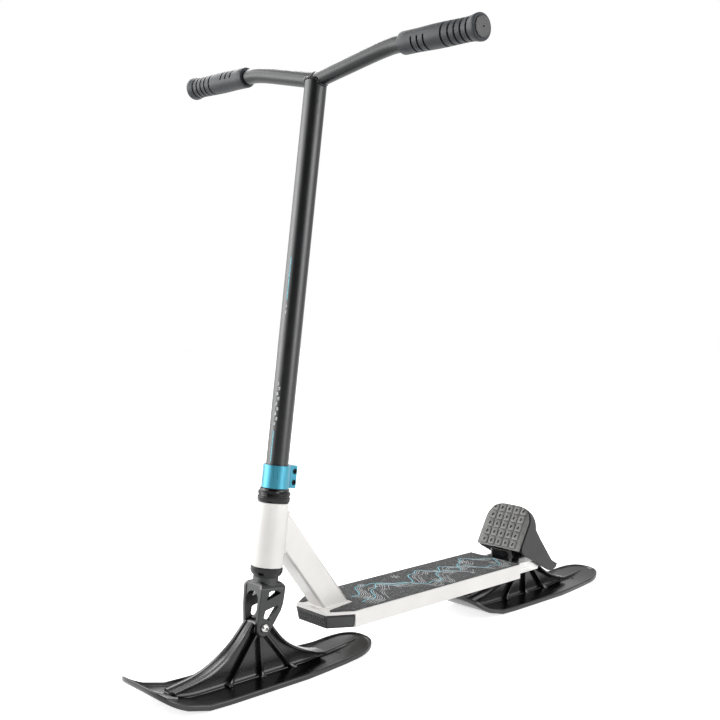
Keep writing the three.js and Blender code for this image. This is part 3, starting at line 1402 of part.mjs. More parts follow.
// Steering
addPart(steeringLine, 'fork', 'blackAlloy', makeFork());
addPart(steeringLine, 'crown_race', 'bearingSteel', makeCrownRace());
addPart(steeringLine, 'steerer_tube', 'blackSteel',
  tube(steererDiameter / 2, steererBore / 2, steererFoot, steererTop));
addPart(steeringLine, 'headset_cover', 'blackAlloy', makeHeadsetCover());
addPart(steeringLine, 'compression_washer', 'bearingSteel', makeCompressionWasher());
addPart(steeringLine, 'compression_bolt', 'blackSteel', makeCompressionBolt());
addPart(steeringLine, 'star_nut', 'bearingSteel', makeStarNut());
addPart(steeringLine, 'handlebar_riser', 'blackSteel', makeRiser());
addPart(steeringLine, 'clamp_collar', 'blueAnodised', makeClamp());
clampBoltHeights().forEach((height, i) => {
  addPart(steeringLine, `clamp_bolt_${['lower', 'upper'][i]}`, 'blackSteel', makeClampBolt(height));
});
for (const [side, label] of [[1, 'left'], [-1, 'right']]) {
  addPart(steeringLine, `bar_arm_${label}`, 'blackSteel', makeBarArm(side));
  const end = gripGroup(side);
  steeringLine.add(end);
  addPart(end, `grip_${label}`, 'gripRubber', makeGrip());
  addPart(end, `bar_plug_${label}`, 'darkPlastic', makeBarPlug());
}
const [forkPivotY, forkPivotZ] = forkPivot();
addPart(steeringLine, 'front_pivot_bolt', 'brightMetal',
  makePivotBolt(bossWidth / 2, forkPivotY, forkPivotZ));
addPart(steeringLine, 'front_pivot_nut', 'brightMetal',
  makePivotNut(bossWidth / 2, forkPivotY, forkPivotZ));

// Skis
for (const [label, y] of [['front', frontPivotY], ['rear', rearPivotY]]) {
  const ski = new THREE.Group();
  ski.position.set(0, y, 0);
  scooter.add(ski);
  addPart(ski, `${label}_ski`, 'skiPlastic', makeSki());
  addPart(ski, `${label}_pivot_sleeve`, 'bearingSteel', makeSleeve());
}

// Rear bracket and foot stop
addPart(frame, 'rear_bracket', 'brightMetal', makeRearBracket());
bracketBoltPlaces().forEach(([x, y], i) => {
  addPart(frame, `bracket_bolt_${i + 1}`, 'bearingSteel', makeBracketBolt(x, y));
});
const earOuter = pivotGap / 2 + bracketEarThickness;
addPart(frame, 'rear_pivot_bolt', 'brightMetal', makePivotBolt(earOuter, rearPivotY, pivotHeight));
addPart(frame, 'rear_pivot_nut', 'brightMetal', makePivotNut(earOuter, rearPivotY, pivotHeight));
addPart(frame, 'foot_stop_block', 'darkPlastic', makeFootStopBlock());
addPart(frame, 'foot_stop_shell', 'greyPlastic', makeShell());
const pad = padGroup();
frame.add(pad);
addPart(pad, 'foot_stop_pad', 'padRubber', makePad());
blockScrewPlaces().forEach(([x, y], i) => {
  addPart(frame, `foot_stop_screw_${['right', 'left'][i]}`, 'bearingSteel', makeBlockScrew(x, y));
});

export default scooter;
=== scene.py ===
import json
from math import copysign, cos, pi, radians, sin, sqrt

import bpy
from mathutils import Matrix, Vector


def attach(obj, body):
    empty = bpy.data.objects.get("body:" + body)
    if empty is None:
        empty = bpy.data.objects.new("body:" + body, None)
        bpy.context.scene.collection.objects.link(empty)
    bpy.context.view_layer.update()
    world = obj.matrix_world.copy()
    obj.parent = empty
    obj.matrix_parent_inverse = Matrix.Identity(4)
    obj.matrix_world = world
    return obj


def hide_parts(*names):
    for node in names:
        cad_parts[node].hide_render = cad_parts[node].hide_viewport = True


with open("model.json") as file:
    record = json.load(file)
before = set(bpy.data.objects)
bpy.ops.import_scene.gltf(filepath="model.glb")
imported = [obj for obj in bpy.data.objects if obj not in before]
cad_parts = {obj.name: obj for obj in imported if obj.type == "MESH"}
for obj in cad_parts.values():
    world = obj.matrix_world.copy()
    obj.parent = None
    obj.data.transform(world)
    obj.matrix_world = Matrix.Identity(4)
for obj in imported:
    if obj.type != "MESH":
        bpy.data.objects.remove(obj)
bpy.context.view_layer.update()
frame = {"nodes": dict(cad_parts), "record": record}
NODES = frame["nodes"]

# ---- lengths, in metres
MM = 0.001
RAKE = radians(7)
STEER_POINT = Vector((0, -0.29985, 0.0795))
FRONT_PIVOT, REAR_PIVOT = -0.30715, 0.29715
SMOOTH_ANGLE = radians(35)
STEER = Matrix.Translation(STEER_POINT) @ Matrix.Rotation(-RAKE, 4, "X")

# The photograph's camera, read from the object's straight edges
PHOTO_PIXELS = 720
PHOTO_FOCAL_PIXELS = 1049.5
CAMERA_PLACE = (1.1293, -1.2076, 0.5466)
CAMERA_AZIMUTH = radians(45.904)
CAMERA_DOWN = radians(3.892)
CAMERA_ROLL = radians(0.718)
SENSOR = 36.0


def in_scene(name, data):
    made = bpy.data.objects.new(name, data)
    bpy.context.scene.collection.objects.link(made)
    return made


def make_camera():
    data = bpy.data.cameras.new("camera")
    data.sensor_width = SENSOR
    data.lens = SENSOR * PHOTO_FOCAL_PIXELS / PHOTO_PIXELS
    data.dof.use_dof = False
    camera = in_scene("camera", data)
    back = Vector((sin(CAMERA_AZIMUTH) * cos(CAMERA_DOWN), -cos(CAMERA_AZIMUTH) * cos(CAMERA_DOWN),
                   sin(CAMERA_DOWN)))
    right = Vector((0, 0, 1)).cross(back).normalized()
    up = back.cross(right)
    rolled_right = cos(CAMERA_ROLL) * right + sin(CAMERA_ROLL) * up
    rolled_up = cos(CAMERA_ROLL) * up - sin(CAMERA_ROLL) * right
    turn = Matrix((rolled_right, rolled_up, back)).transposed().to_4x4()
    camera.matrix_world = Matrix.Translation(CAMERA_PLACE) @ turn
    bpy.context.scene.camera = camera


# ---- materials
def srgb(text):
    parts = [int(text[i:i + 2], 16) / 255 for i in (0, 2, 4)]
    return tuple(c / 12.92 if c <= 0.04045 else ((c + 0.055) / 1.055) ** 2.4 for c in parts) + (1.0,)


# Painted shade: materials darken their colour by this mesh attribute in grooves and holes.
PAINTED_SHADE = "painted_shade"  # mesh attribute, 0 on the surface to 1 deep in a groove or hole


class Tree:
    """A node tree, with short calls for its nodes."""

    def __init__(self, owner):
        owner.use_nodes = True
        self.tree = owner.node_tree

    def add(self, kind, *ordered, **named):
        """A node whose inputs take values in their order, and inputs or settings by name."""
        node = self.tree.nodes.new(kind)
        for key, value in named.items():
            if key in node.inputs:
                self.put(node.inputs[key], value)
            else:
                setattr(node, key, value)
        for socket, value in zip(node.inputs, ordered):
            self.put(socket, value)
        return node

    def put(self, socket, value):
        if isinstance(value, bpy.types.NodeSocket):
            self.tree.links.new(value, socket)
        else:
            socket.default_value = value

    def span(self, value, low, high, start=0.0, full=1.0):
        """low where the value is at start, high where it is full."""
        return self.add("ShaderNodeMapRange", value, start, full, low, high).outputs["Result"]


class Nodes(Tree):
    """A material's nodes."""

    def __init__(self, name, rough, metal=0.0, gloss=0.5):
        self.material = bpy.data.materials.new(name)
        super().__init__(self.material)
        self.shader = self.tree.nodes["Principled BSDF"]
        for socket, value in (("Metallic", metal), ("Roughness", rough), ("Specular IOR Level", gloss)):
            self.shader.inputs[socket].default_value = value
        self.place = self.add("ShaderNodeTexCoord").outputs["Object"]

    def noise(self, scale, detail, rough=0.5, vector=None):
        return self.add("ShaderNodeTexNoise", Vector=vector or self.place, Scale=scale, Detail=detail,
                        Roughness=rough).outputs["Fac"]

    def ramp(self, value, stops):
        node = self.add("ShaderNodeValToRGB", Fac=value)
        items = node.color_ramp.elements
        while len(items) < len(stops):
            items.new(1.0)
        for item, (at, colour) in zip(items, stops):
            item.position = at
            item.color = colour
        return node.outputs["Color"]

    def mix(self, share, a, b):
        """A share of colour b mixed into colour a."""
        node = self.add("ShaderNodeMix", share, data_type="RGBA")
        colour_a, colour_b, result = node.inputs[6], node.inputs[7], node.outputs[2]
        self.put(colour_a, a)
        self.put(colour_b, b)
        return result

    def stretched(self, scale):
        return self.add("ShaderNodeMapping", Vector=self.place, Scale=scale).outputs["Vector"]

    def shades(self, value, low, dark, high, light):
        return self.ramp(value, [(low, srgb(dark)), (high, srgb(light))])

    def bump(self, height, strength, distance):
        node = self.add("ShaderNodeBump", Strength=strength, Distance=distance, Height=height)
        self.put(self.shader.inputs["Normal"], node.outputs["Normal"])

    def base(self, colour, shade_colour="060606"):
        """The colour, with painted shade: darkened towards a near-black colour where the mesh's attribute sets it, in
        grooves and holes.
        """
        painted_shade = self.add("ShaderNodeAttribute", attribute_name=PAINTED_SHADE).outputs["Fac"]
        self.put(self.shader.inputs["Base Color"], self.mix(painted_shade, colour, srgb(shade_colour)))

    def rough(self, value):
        self.put(self.shader.inputs["Roughness"], value)


def powder_coat(name, dark, light, rough, coat=0.0, gloss=0.5):
    """Powder coat: even, with a faint orange peel."""
    n = Nodes(name, rough, gloss=gloss)
    if coat:
        n.shader.inputs["Coat Weight"].default_value = coat
        n.shader.inputs["Coat Roughness"].default_value = 0.12
    n.base(n.shades(n.noise(14, 3), 0.3, dark, 0.7, light))
    n.rough(n.span(n.noise(60, 3), rough - 0.05, rough + 0.06))
    n.bump(n.noise(1400, 2), strength=0.12, distance=0.12 * MM)
    return n.material


def moulded(name, dark, light, rough, grain, depth, gloss=0.5):
    """Moulded plastic: a fine grain, slow changes of shade and long streaks in its gloss."""
    n = Nodes(name, rough, gloss=gloss)
    streaks = n.noise(1, 4, 0.6, n.stretched((260, 34, 260)))
    n.base(n.shades(n.noise(9, 3), 0.3, dark, 0.72, light))
    n.rough(n.span(streaks, rough - 0.09, rough + 0.1))
    n.bump(n.noise(grain, 2), strength=depth, distance=0.15 * MM)
    return n.material


def brushed(name, dark, light, rough, stretch, metal=1.0):
    """Metal with fine lines, which run along the axis that stretch scales least."""
    n = Nodes(name, rough, metal)
    lines = n.noise(1, 4, 0.6, n.stretched(stretch))
    n.base(n.shades(lines, 0.3, dark, 0.68, light))
    n.rough(n.span(lines, rough - 0.08, rough + 0.1))
    n.bump(lines, strength=0.15, distance=0.08 * MM)
    return n.material


def grit_sheet(name):
    """Grip tape: dark grains with a few that glint."""
    n = Nodes(name, 0.85)
    grains = n.add("ShaderNodeTexVoronoi", Vector=n.place, Scale=900).outputs["Color"]
    patches = n.noise(430, 3, 0.75)
    n.base(n.ramp(n.mix(0.5, grains, patches), [(0.24, srgb("121313")), (0.45, srgb("2a2b2b")),
                                                (0.62, srgb("404041")), (0.8, srgb("b0b1b1"))]))
    n.bump(n.mix(0.5, n.noise(1300, 2), patches), strength=0.8, distance=0.5 * MM)
    return n.material


def printed(name, colour, worn):
    """Ink on the grit sheet or the tube, worn through in specks."""
    n = Nodes(name, 0.7)
    n.base(n.shades(n.noise(700, 3, 0.7), 0.4, worn, 0.5, colour))
    n.bump(n.noise(1500, 2), strength=0.4, distance=0.2 * MM)
    return n.material


def rubber(name, dark, light, rough, scale=160, shade_colour="060606", gloss=0.5):
    """Rubber: dull and mottled, with a near-black colour painted as shade inside its holes and grooves."""
    n = Nodes(name, rough, gloss=gloss)
    n.base(n.shades(n.noise(scale, 4, 0.65), 0.3, dark, 0.72, light), shade_colour)
    n.rough(n.span(n.noise(40, 3), rough - 0.06, rough + 0.08))
    n.bump(n.noise(2200, 2), strength=0.3, distance=0.1 * MM)
    return n.material


MATERIALS = {
    "white_paint": powder_coat("white_paint", "dfddda", "e9e7e4", rough=0.38, coat=0.2),
    "black_steel": powder_coat("black_steel", "0c0d0e", "121315", rough=0.32, gloss=0.52),
    "black_alloy": powder_coat("black_alloy", "121315", "1a1b1d", rough=0.32),
    "ski_plastic": moulded("ski_plastic", "09090a", "101011", rough=0.22, grain=700, depth=0.05),
    "grey_plastic": moulded("grey_plastic", "2a2a2b", "323233", rough=0.55, grain=900, depth=0.25, gloss=0.35),
    "dark_plastic": moulded("dark_plastic", "131314", "1a1a1c", rough=0.42, grain=900, depth=0.3),
    "pad_rubber": rubber("pad_rubber", "3a3a39", "656462", rough=0.4, scale=90, shade_colour="050505"),
    "grip_rubber": rubber("grip_rubber", "1c1f23", "272a2f", rough=0.46, gloss=0.28),
    "grip_tape": grit_sheet("grip_tape"),
    "blue_anodised": brushed("blue_anodised", "2d7c93", "4598af", rough=0.27, stretch=(90, 90, 6), metal=0.5),
    "bright_aluminium": brushed("bright_aluminium", "9a9a99", "dededc", rough=0.3, stretch=(700, 25, 700)),
    "bearing_steel": brushed("bearing_steel", "8d8f91", "a9abad", rough=0.28, stretch=(400, 400, 60)),
}
GLOSS_BLACK = powder_coat("gloss_black", "070708", "0b0b0c", rough=0.14, gloss=0.3)
BAR_BLACK = powder_coat("bar_black", "090b0e", "0f1114", rough=0.34, gloss=0.3)
PANEL_GREY = moulded("panel_grey", "29292a", "303031", rough=0.5, grain=900, depth=0.3)
# Painted shade: the bearings are near black, so that the narrow gaps by the headset cups stay dark.
BEARING_SHADE = rubber("bearing_painted_shade", "141415", "1b1b1c", rough=0.6)
PLUG_GREY = moulded("plug_grey", "3f403f", "4a4b4a", rough=0.5, grain=900, depth=0.2, gloss=0.35)
CYAN_PRINT = printed("cyan_print", "8bd6e4", "4a8c98")
WHITE_PRINT = printed("white_print", "cfd1d2", "6b6d6e")


# ---- pieces
def piece(name, verts, faces, body, slot_name, material=None, smooth=True, place=Matrix(), vertex_shade_marks=None):
    """A mesh that rides on a body, with a value for each vertex that darkens its colour as painted shade."""
    mesh = bpy.data.meshes.new(name)
    mesh.from_pydata([tuple(v) for v in verts], [], faces)
    if vertex_shade_marks:
        mesh.attributes.new(PAINTED_SHADE, "FLOAT", "POINT").data.foreach_set("value", vertex_shade_marks)
    mesh.validate()
    mesh.transform(place)
    mesh.materials.append(material or MATERIALS[slot_name])
    made = in_scene(name, mesh)
    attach(made, body)
    if smooth:
        mesh.shade_smooth()
        mesh.set_sharp_from_angle(angle=SMOOTH_ANGLE)
    return made


def circle(radius, count, start=0.0):
    """(x, y) places round a circle, from an angle on."""
    angles = [start + 2 * pi * j / count for j in range(count)]
    return [(radius * cos(angle), radius * sin(angle)) for angle in angles]


def direction_at(points, i):
    return (points[min(i + 1, len(points) - 1)] - points[max(i - 1, 0)]).normalized()


def loft(rings, closed_ends=True, closed_ring=True):
    """Vertices and faces of a skin over rings with the same number of points."""
    count = len(rings[0])
    verts = [point for ring in rings for point in ring]
    faces = []
    steps = count if closed_ring else count - 1
    for i in range(len(rings) - 1):
        for j in range(steps):
            a, b = i * count + j, i * count + (j + 1) % count
            faces.append((a, b, b + count, a + count))
    if closed_ends:
        last = (len(rings) - 1) * count
        faces.append(tuple(reversed(range(count))))
        faces.append(tuple(range(last, last + count)))
    return verts, faces


def joined(*shells):
    verts, faces = [], []
    for shell_verts, shell_faces in shells:
        start = len(verts)
        verts.extend(shell_verts)
        faces.extend(tuple(start + i for i in face) for face in shell_faces)
    return verts, faces


def turned(profile, segments):
    """A body about Z from (radius, height) pairs."""
    return loft([[(x, y, height) for x, y in circle(radius, segments)] for radius, height in profile],
                closed_ends=False)


def hoops(points, aheads, radii, count):
    """Rings across a line, each turned as little as can be from the one before."""
    rings, side = [], None
    for point, ahead, radius in zip(points, aheads, radii):
        side = ahead.orthogonal() if side is None else side - ahead * side.dot(ahead)
        side.normalize()
        lift = ahead.cross(side)
        rings.append([point + side * x + lift * y for x, y in circle(radius, count)])
    return rings


def swept(points, radius, segments):
    """A rod along a line of points."""
    aheads = [direction_at(points, i) for i in range(len(points))]
    return loft(hoops(points, aheads, [radius] * len(points), segments))


def spline(points, steps):
    """A smooth line through points (Catmull-Rom)."""
    made, last = [], len(points) - 1
    for i in range(last):
        p0, p1, p2, p3 = [points[min(max(i + k, 0), last)] for k in (-1, 0, 1, 2)]
        for t in [k / steps for k in range(steps)]:
            made.append(0.5 * ((2 * p1) + (p2 - p0) * t + (2 * p0 - 5 * p1 + 4 * p2 - p3) * t ** 2
                               + (3 * p1 - 3 * p2 + p3 - p0) * t ** 3))
    made.append(points[-1])
    return made


# ---- CAD nodes that stay
# Widths of the rounded edges, in millimetres
EDGE_WIDTHS = {
    "deck": 0.9, "nose_bumper": 0.6, "fork": 0.9, "clamp_collar": 0.5, "rear_bracket": 0.4,
    "foot_stop_block": 1.0, "foot_stop_shell": 1.4, "grip_tape": 0.2, "front_pivot_bolt": 1.1,
    "rear_pivot_bolt": 1.1,
}
EDGE_WIDTH = 0.25
UNBEVELLED = ["down_tube"]
NODE_MATERIALS = {
    "headset_cover": GLOSS_BLACK, "upper_headset_cup": GLOSS_BLACK, "lower_headset_cup": GLOSS_BLACK,
    # The bearings' near black is painted shade in the gaps by the cups.
    "crown_race": GLOSS_BLACK, "lower_bearing": BEARING_SHADE, "upper_bearing": BEARING_SHADE,
    "foot_stop_block": GLOSS_BLACK, "bar_plug_left": PLUG_GREY, "bar_plug_right": PLUG_GREY,
}


def dress_cad_nodes():
    """Materials, rounded edges and smooth shading for the nodes as they came, by modifiers only."""
    for entry in frame["record"]["subparts"]:
        name, node = entry["node"], NODES[entry["node"]]
        node.data.materials.clear()
        node.data.materials.append(NODE_MATERIALS.get(name, MATERIALS[entry["material_slot"]]))
        node.modifiers.new("weld", "WELD").merge_threshold = 0.02 * MM
        flat = node.modifiers.new("flat", "DECIMATE")
        flat.decimate_type = "DISSOLVE"
        flat.angle_limit = radians(0.6)
        if name not in UNBEVELLED:
            bevel = node.modifiers.new("edges", "BEVEL")
            bevel.width = EDGE_WIDTHS.get(name, EDGE_WIDTH) * MM
            bevel.segments = 2
            bevel.limit_method = "ANGLE"
            bevel.angle_limit = SMOOTH_ANGLE
        node.data.shade_smooth()
        node.data.set_sharp_from_angle(angle=SMOOTH_ANGLE)
        even = node.modifiers.new("even", "WEIGHTED_NORMAL")
        even.keep_sharp = True
        even.weight = 80


# ---- skis
SKI_HALF, TAIL_HALF = 54.3 * MM, 44 * MM
NOSE_REACH, TAIL_REACH = 195 * MM, 207.5 * MM
NOSE_TAPER, TAIL_TAPER = 43 * MM, 62 * MM
NOSE_POWER, TAIL_POWER = 3.9, 2.5
NOSE_BEND, TAIL_BEND = 95 * MM, 130 * MM
NOSE_RISE, TAIL_RISE = 36 * MM, 9 * MM
NOSE_BEND_POWER, TAIL_BEND_POWER = 2.3, 1.7
NARROW_START, NARROW_POWER = 50 * MM, 1.15
TAIL_FILL = 2.4 * MM
SKI_FLOOR = 4.6 * MM
PIVOT_HEIGHT = 75 * MM
# Section of the rim, from the sole over the edge to the tray: (inset, height) in millimetres
RIM_SECTION = [(3.2, 0), (1.2, 0.3), (0.3, 1.2), (0, 2.6), (0, 6.2), (0.35, 7.5), (1.3, 8.3), (2.6, 8.4),
               (3.6, 7.9), (4.3, 6.6), (5.2, 5.2), (7.2, 4.6)]
RIM_CREST, RIM_FOOT = 3.6, 7.2
# Lines of the flanges' tops: (share of the reach, share of the pivot's height)
FRONT_RIDGE = [(-0.727, 0.262), (-0.624, 0.3), (-0.541, 0.333), (-0.454, 0.387), (-0.366, 0.48), (-0.28, 0.613),
               (-0.193, 0.8), (-0.109, 1.04), (-0.076, 1.128)]
REAR_RIDGE = [(0.09, 1.02), (0.123, 0.897), (0.167, 0.747), (0.213, 0.62), (0.259, 0.525), (0.304, 0.447),
              (0.4, 0.32), (0.5, 0.22), (0.578, 0.173)]
FRONT_RIDGE_REACH = 199 * MM
FLANGE_HALF = 13 * MM
FLANGE_NARROW, FLANGE_WIDE = 19 * MM, 62 * MM  # distances from the pivot between which a flange widens
HUB_RADIUS, HUB_HALF = 12.6 * MM, 10 * MM
RIB_FEET = [-54.1 * MM, 3.4 * MM, 58.7 * MM]
# (share of the way from the hub to the tray, half width and half thickness in millimetres)
RIB_SECTIONS = [(0, 9.2, 2.2), (0.3, 9.2, 2.1), (0.6, 9.6, 2.1), (0.85, 10, 2.2), (0.93, 10.6, 2.7),
                (0.975, 12.4, 3.8), (1.0, 14.5, 5.4)]
RIB_CORNERS = [(-1, -0.6), (-0.93, -1), (0.93, -1), (1, -0.6), (1, 0.6), (0.93, 1), (-0.93, 1), (-1, 0.6)]
DIMPLE_PLACE = (10 * MM, 147 * MM)
DIMPLE_PROFILE = [(0.02, -0.2), (3.6, -0.2), (3.4, 0.5), (2.2, 0.5), (1.9, 0.2), (0.02, 0.2)]


def ski_under(y):
    nose = max(0.0, -y - NOSE_BEND) / (NOSE_REACH - NOSE_BEND)
    tail = max(0.0, y - TAIL_BEND) / (TAIL_REACH - TAIL_BEND)
    return NOSE_RISE * nose ** NOSE_BEND_POWER + TAIL_RISE * tail ** TAIL_BEND_POWER


def tail_fill(y):
    return TAIL_FILL * max(0.0, y - TAIL_BEND) / (TAIL_REACH - TAIL_BEND)


def both_sides(points):
    """The points, then their mirror images in x in reverse order."""
    return points + [(-x, *rest) for x, *rest in reversed(points)]


def half_outline(inset):
    """Right half of the plan at an inset, from the nose's middle to the tail's."""
    curve_steps, straight_steps, narrow_steps = 22, 6, 8
    half, tail_half = SKI_HALF - inset, TAIL_HALF - inset
    angles = [pi / 2 * i / curve_steps for i in range(curve_steps + 1)]
    points = [(half * sin(angle) ** (2 / NOSE_POWER),
               -(NOSE_REACH - NOSE_TAPER) - (NOSE_TAPER - inset) * cos(angle) ** (2 / NOSE_POWER))
              for angle in angles]
    start, end = points[-1][1], TAIL_REACH - TAIL_TAPER
    points += [(half, start + (NARROW_START - start) * i / straight_steps) for i in range(1, straight_steps)]
    for share in [i / narrow_steps for i in range(narrow_steps)]:
        points.append((half + (tail_half - half) * share ** NARROW_POWER,
                       NARROW_START + (end - NARROW_START) * share))
    points += [(tail_half * cos(angle) ** (2 / TAIL_POWER),
                end + (TAIL_TAPER - inset) * sin(angle) ** (2 / TAIL_POWER)) for angle in angles]
    points[-1] = (0.0, points[-1][1])
    return points


def ski_tray():
    rings = []
    for inset, height in RIM_SECTION:
        # The tray's floor climbs towards the tail, so the rim sinks into it there.
        share = max(0.0, (inset - RIM_CREST) / (RIM_FOOT - RIM_CREST))
        half_ring = [(x, y, ski_under(y) + height * MM + share * tail_fill(y)) for x, y in half_outline(inset * MM)]
        rings.append(half_ring + [(-x, y, z) for x, y, z in reversed(half_ring[1:-1])])
    verts, faces = loft(rings, closed_ends=False)
    count, strips = len(rings[0]), len(half_ring) - 1
    # Strips across close the sole, turned to face down, and the tray.
    for start, turn in ((0, 1), ((len(rings) - 1) * count, -1)):
        for i in range(strips):
            a, b = start + i, start + i + 1
            c, d = start + (count - i - 1) % count, start + (count - i) % count
            face = [a, b, c] if i == 0 else [a, b, d] if i == strips - 1 else [a, b, c, d]
            faces.append(tuple(face)[::turn])
    return verts, faces


def ridge(points, reach):
    return spline([Vector((0, share * reach, up * PIVOT_HEIGHT)) for share, up in points], steps=5)


def flange_half(y):
    """Half width of a flange: that of the hub between the fork's legs, then wider."""
    share = min(1.0, max(0.0, (abs(y) - FLANGE_NARROW) / (FLANGE_WIDE - FLANGE_NARROW)))
    return HUB_HALF + (FLANGE_HALF - HUB_HALF) * share


def flange_section(half, grooved):
    """(across, up) places round a flange's section, whose top has a groove or a low swelling."""
    edge = 0.9 * MM
    heights = (0.5, 0, -1.5) if grooved else (0.4, 0.55, 0.6)
    top = [(half, -2.6 * MM), (half, -edge), (half - edge, 0)]
    top += [(x * MM, up * MM) for x, up in zip((5.2, 4.3, 3.2), heights)]
    under = [(half - edge, -3.8 * MM), (3 * MM, -4 * MM)]
    return both_sides([(-x, up) for x, up in top]) + both_sides(under)


def flange(line, grooved):
    rings = []
    for i, point in enumerate(line):
        ahead = direction_at(line, i)
        normal = Vector((0, -ahead.z, ahead.y))
        section = flange_section(flange_half(point.y), grooved)
        rings.append([point + Vector((x, 0, 0)) + normal * up for x, up in section])
    return loft(rings)


def fin_slim(y, end):
    """Share of the fin's thickness that is left where it runs out into the tail."""
    return min(1.0, max(0.3, (end - y) / (38 * MM)))


def fin(front, rear):
    """The web under both flanges, with a foot that spreads on the tray."""
    rings = []
    for point in front + [Vector((0, y, 0.97 * PIVOT_HEIGHT)) for y in (-HUB_HALF, 0, HUB_HALF)] + rear:
        base = ski_under(point.y) + SKI_FLOOR
        top = max(base + 1.5 * MM, point.z - 2 * MM)
        foot = min(6 * MM, top - base)
        slim = fin_slim(point.y, rear[-1].y)
        section = [(-6.2, base - 0.5 * MM), (-4.2, base + 0.12 * foot), (-3.1, base + 0.45 * foot),
                   (-2.6, base + foot), (-2.2, top)]
        rings.append(both_sides([(x * slim * MM, point.y, z) for x, z in section]))
    return loft(rings)


def rib(foot_y):
    """A web across the fin, from the hub to the tray, whose foot spreads."""
    top, foot = Vector((0, 0, PIVOT_HEIGHT)), Vector((0, foot_y, SKI_FLOOR - 1 * MM))
    along = (foot - top).normalized()
    side = Vector((0, -along.z, along.y))
    length = (foot - top).length
    rings = []
    for share, half, thick in RIB_SECTIONS:
        middle = top + along * length * share
        rings.append([middle + Vector((x * half * MM, 0, 0)) + side * (t * thick * MM) for x, t in RIB_CORNERS])
    return loft(rings)


def spine(start, end, wide, narrow):
    """The raised strip from a flange's foot to the tip, with sloped sides."""
    rings, steps = [], 14
    for i in range(steps + 1):
        share, y = i / steps, start + (end - start) * i / steps
        low = ski_under(y) + tail_fill(y) + SKI_FLOOR - 0.6 * MM
        lift = 3.6 * MM * (1 - share ** 3) + 0.2 * MM
        half = wide + (narrow - wide) * share
        rings.append(both_sides([(-half - 1 * MM, y, low), (-half, y, low + lift),
                                 (-half + 0.6 * MM, y, low + lift + 0.4 * MM)]))
    return loft(rings)


def foot_bead(side, end):
    """The fillet line that runs along the fin's foot."""
    line = [Vector((side * 6.4 * fin_slim(y, end) * MM, y, ski_under(y) + SKI_FLOOR + 0.2 * MM))
            for y in [at * MM for at in range(-135, 118, 6)]]
    return swept(line, 1.1 * MM, 8)


def dimple():
    """A small round mark in the tail's tray."""
    x, y = DIMPLE_PLACE
    place = Vector((x, y, ski_under(y) + tail_fill(y) + SKI_FLOOR))
    verts, faces = turned([(radius * MM, height * MM) for radius, height in DIMPLE_PROFILE], 24)
    return [Vector(v) + place for v in verts], faces


def hub():
    """The boss round the pivot bolt."""
    bore, edge = 6.4 * MM, 0.8 * MM
    profile = [(bore, -HUB_HALF), (HUB_RADIUS - edge, -HUB_HALF), (HUB_RADIUS, -HUB_HALF + edge),
               (HUB_RADIUS, HUB_HALF - edge), (HUB_RADIUS - edge, HUB_HALF), (bore, HUB_HALF), (bore, -HUB_HALF)]
    verts, faces = turned(profile, 48)
    turn = Matrix.Translation((0, 0, PIVOT_HEIGHT)) @ Matrix.Rotation(pi / 2, 4, "Y")
    return [turn @ Vector(v) for v in verts], faces


def make_ski(name, pivot, node):
    front, rear = ridge(FRONT_RIDGE, FRONT_RIDGE_REACH), ridge(REAR_RIDGE, TAIL_REACH)
    verts, faces = joined(
        ski_tray(), flange(front, True), flange(rear, False), fin(front, rear), hub(),
        *[rib(y) for y in RIB_FEET], foot_bead(-1, rear[-1].y), foot_bead(1, rear[-1].y), dimple(),
        spine(front[0].y + 4 * MM, -NOSE_REACH + 7 * MM, 13 * MM, 3 * MM),
        spine(rear[-1].y - 4 * MM, TAIL_REACH - 14 * MM, 2.5 * MM, 1.6 * MM),
    )
    made = piece(name, verts, faces, node, "ski_plastic", place=Matrix.Translation((0, pivot, 0)))
    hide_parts(node)


# ---- steering
TUBE = 15.9 * MM
BAR = 11.1 * MM
JUNCTION = 765 * MM
BEND = Vector((137 * MM, 3.7 * MM, JUNCTION + 28.7 * MM))
BEND_BEFORE, BEND_AFTER = 42, 15  # reach of the bend's curve before and after its corner, in millimetres
BAR_END = Vector((298.6 * MM, -0.3 * MM, JUNCTION + 26.4 * MM))


def mirrored(point, side):
    return Vector((side * point.x, point.y, point.z))


def arm_line(side):
    """Middle line of an arm, from the riser round the bend to the bar's end."""
    start = Vector((0, 0, JUNCTION))
    into = BEND - (BEND - start).normalized() * BEND_BEFORE * MM
    out = BEND + (BAR_END - BEND).normalized() * BEND_AFTER * MM
    curve = [into.lerp(BEND, t).lerp(BEND.lerp(out, t), t) for t in [k / 12 for k in range(13)]]
    return [mirrored(p, side) for p in [start] + curve + [BAR_END]]


def make_bar(side, label):
    line = arm_line(side)
    made = piece(f"bar_{label}", *swept(line, BAR, 48), "steering", "black_steel", BAR_BLACK, place=STEER)
    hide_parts(f"bar_arm_{label}")


def grip_frame(side):
    """Origin at the bar's end, Z outwards along the grip."""
    bend, end = mirrored(BEND, side), mirrored(BAR_END, side)
    turn = Vector((0, 0, 1)).rotation_difference((end - bend).normalized())
    return Matrix.Translation(end) @ turn.to_matrix().to_4x4()


# The grip's measures are in millimetres; places along it are distances from its inner end.
GRIP_LENGTH = 134 * MM
GRIP_RINGS = [78.5, 90.5, 100.5, 110.5, 120.5]
GRIP_SLOTS = [26.5, 37.5, 48.5]
GROOVE_HALF, GROOVE_WALL = 1.1, 0.5
RING_DEPTH, SLOT_DEPTH = 1.6, 1.8
# (place, radius) of the outside
GRIP_OUTSIDE = [(0, 14.2), (0.8, 14.8), (2.2, 15.2), (14, 15.2), (18, 15.1), (30, 15.2), (45, 15.6), (60, 15.9),
                (76, 15.8), (95, 15.4), (110, 15.2), (118, 15.4), (124, 16.2), (127.6, 16.9), (129.5, 17.3),
                (132, 17.4), (133.4, 17), (134, 16.2)]
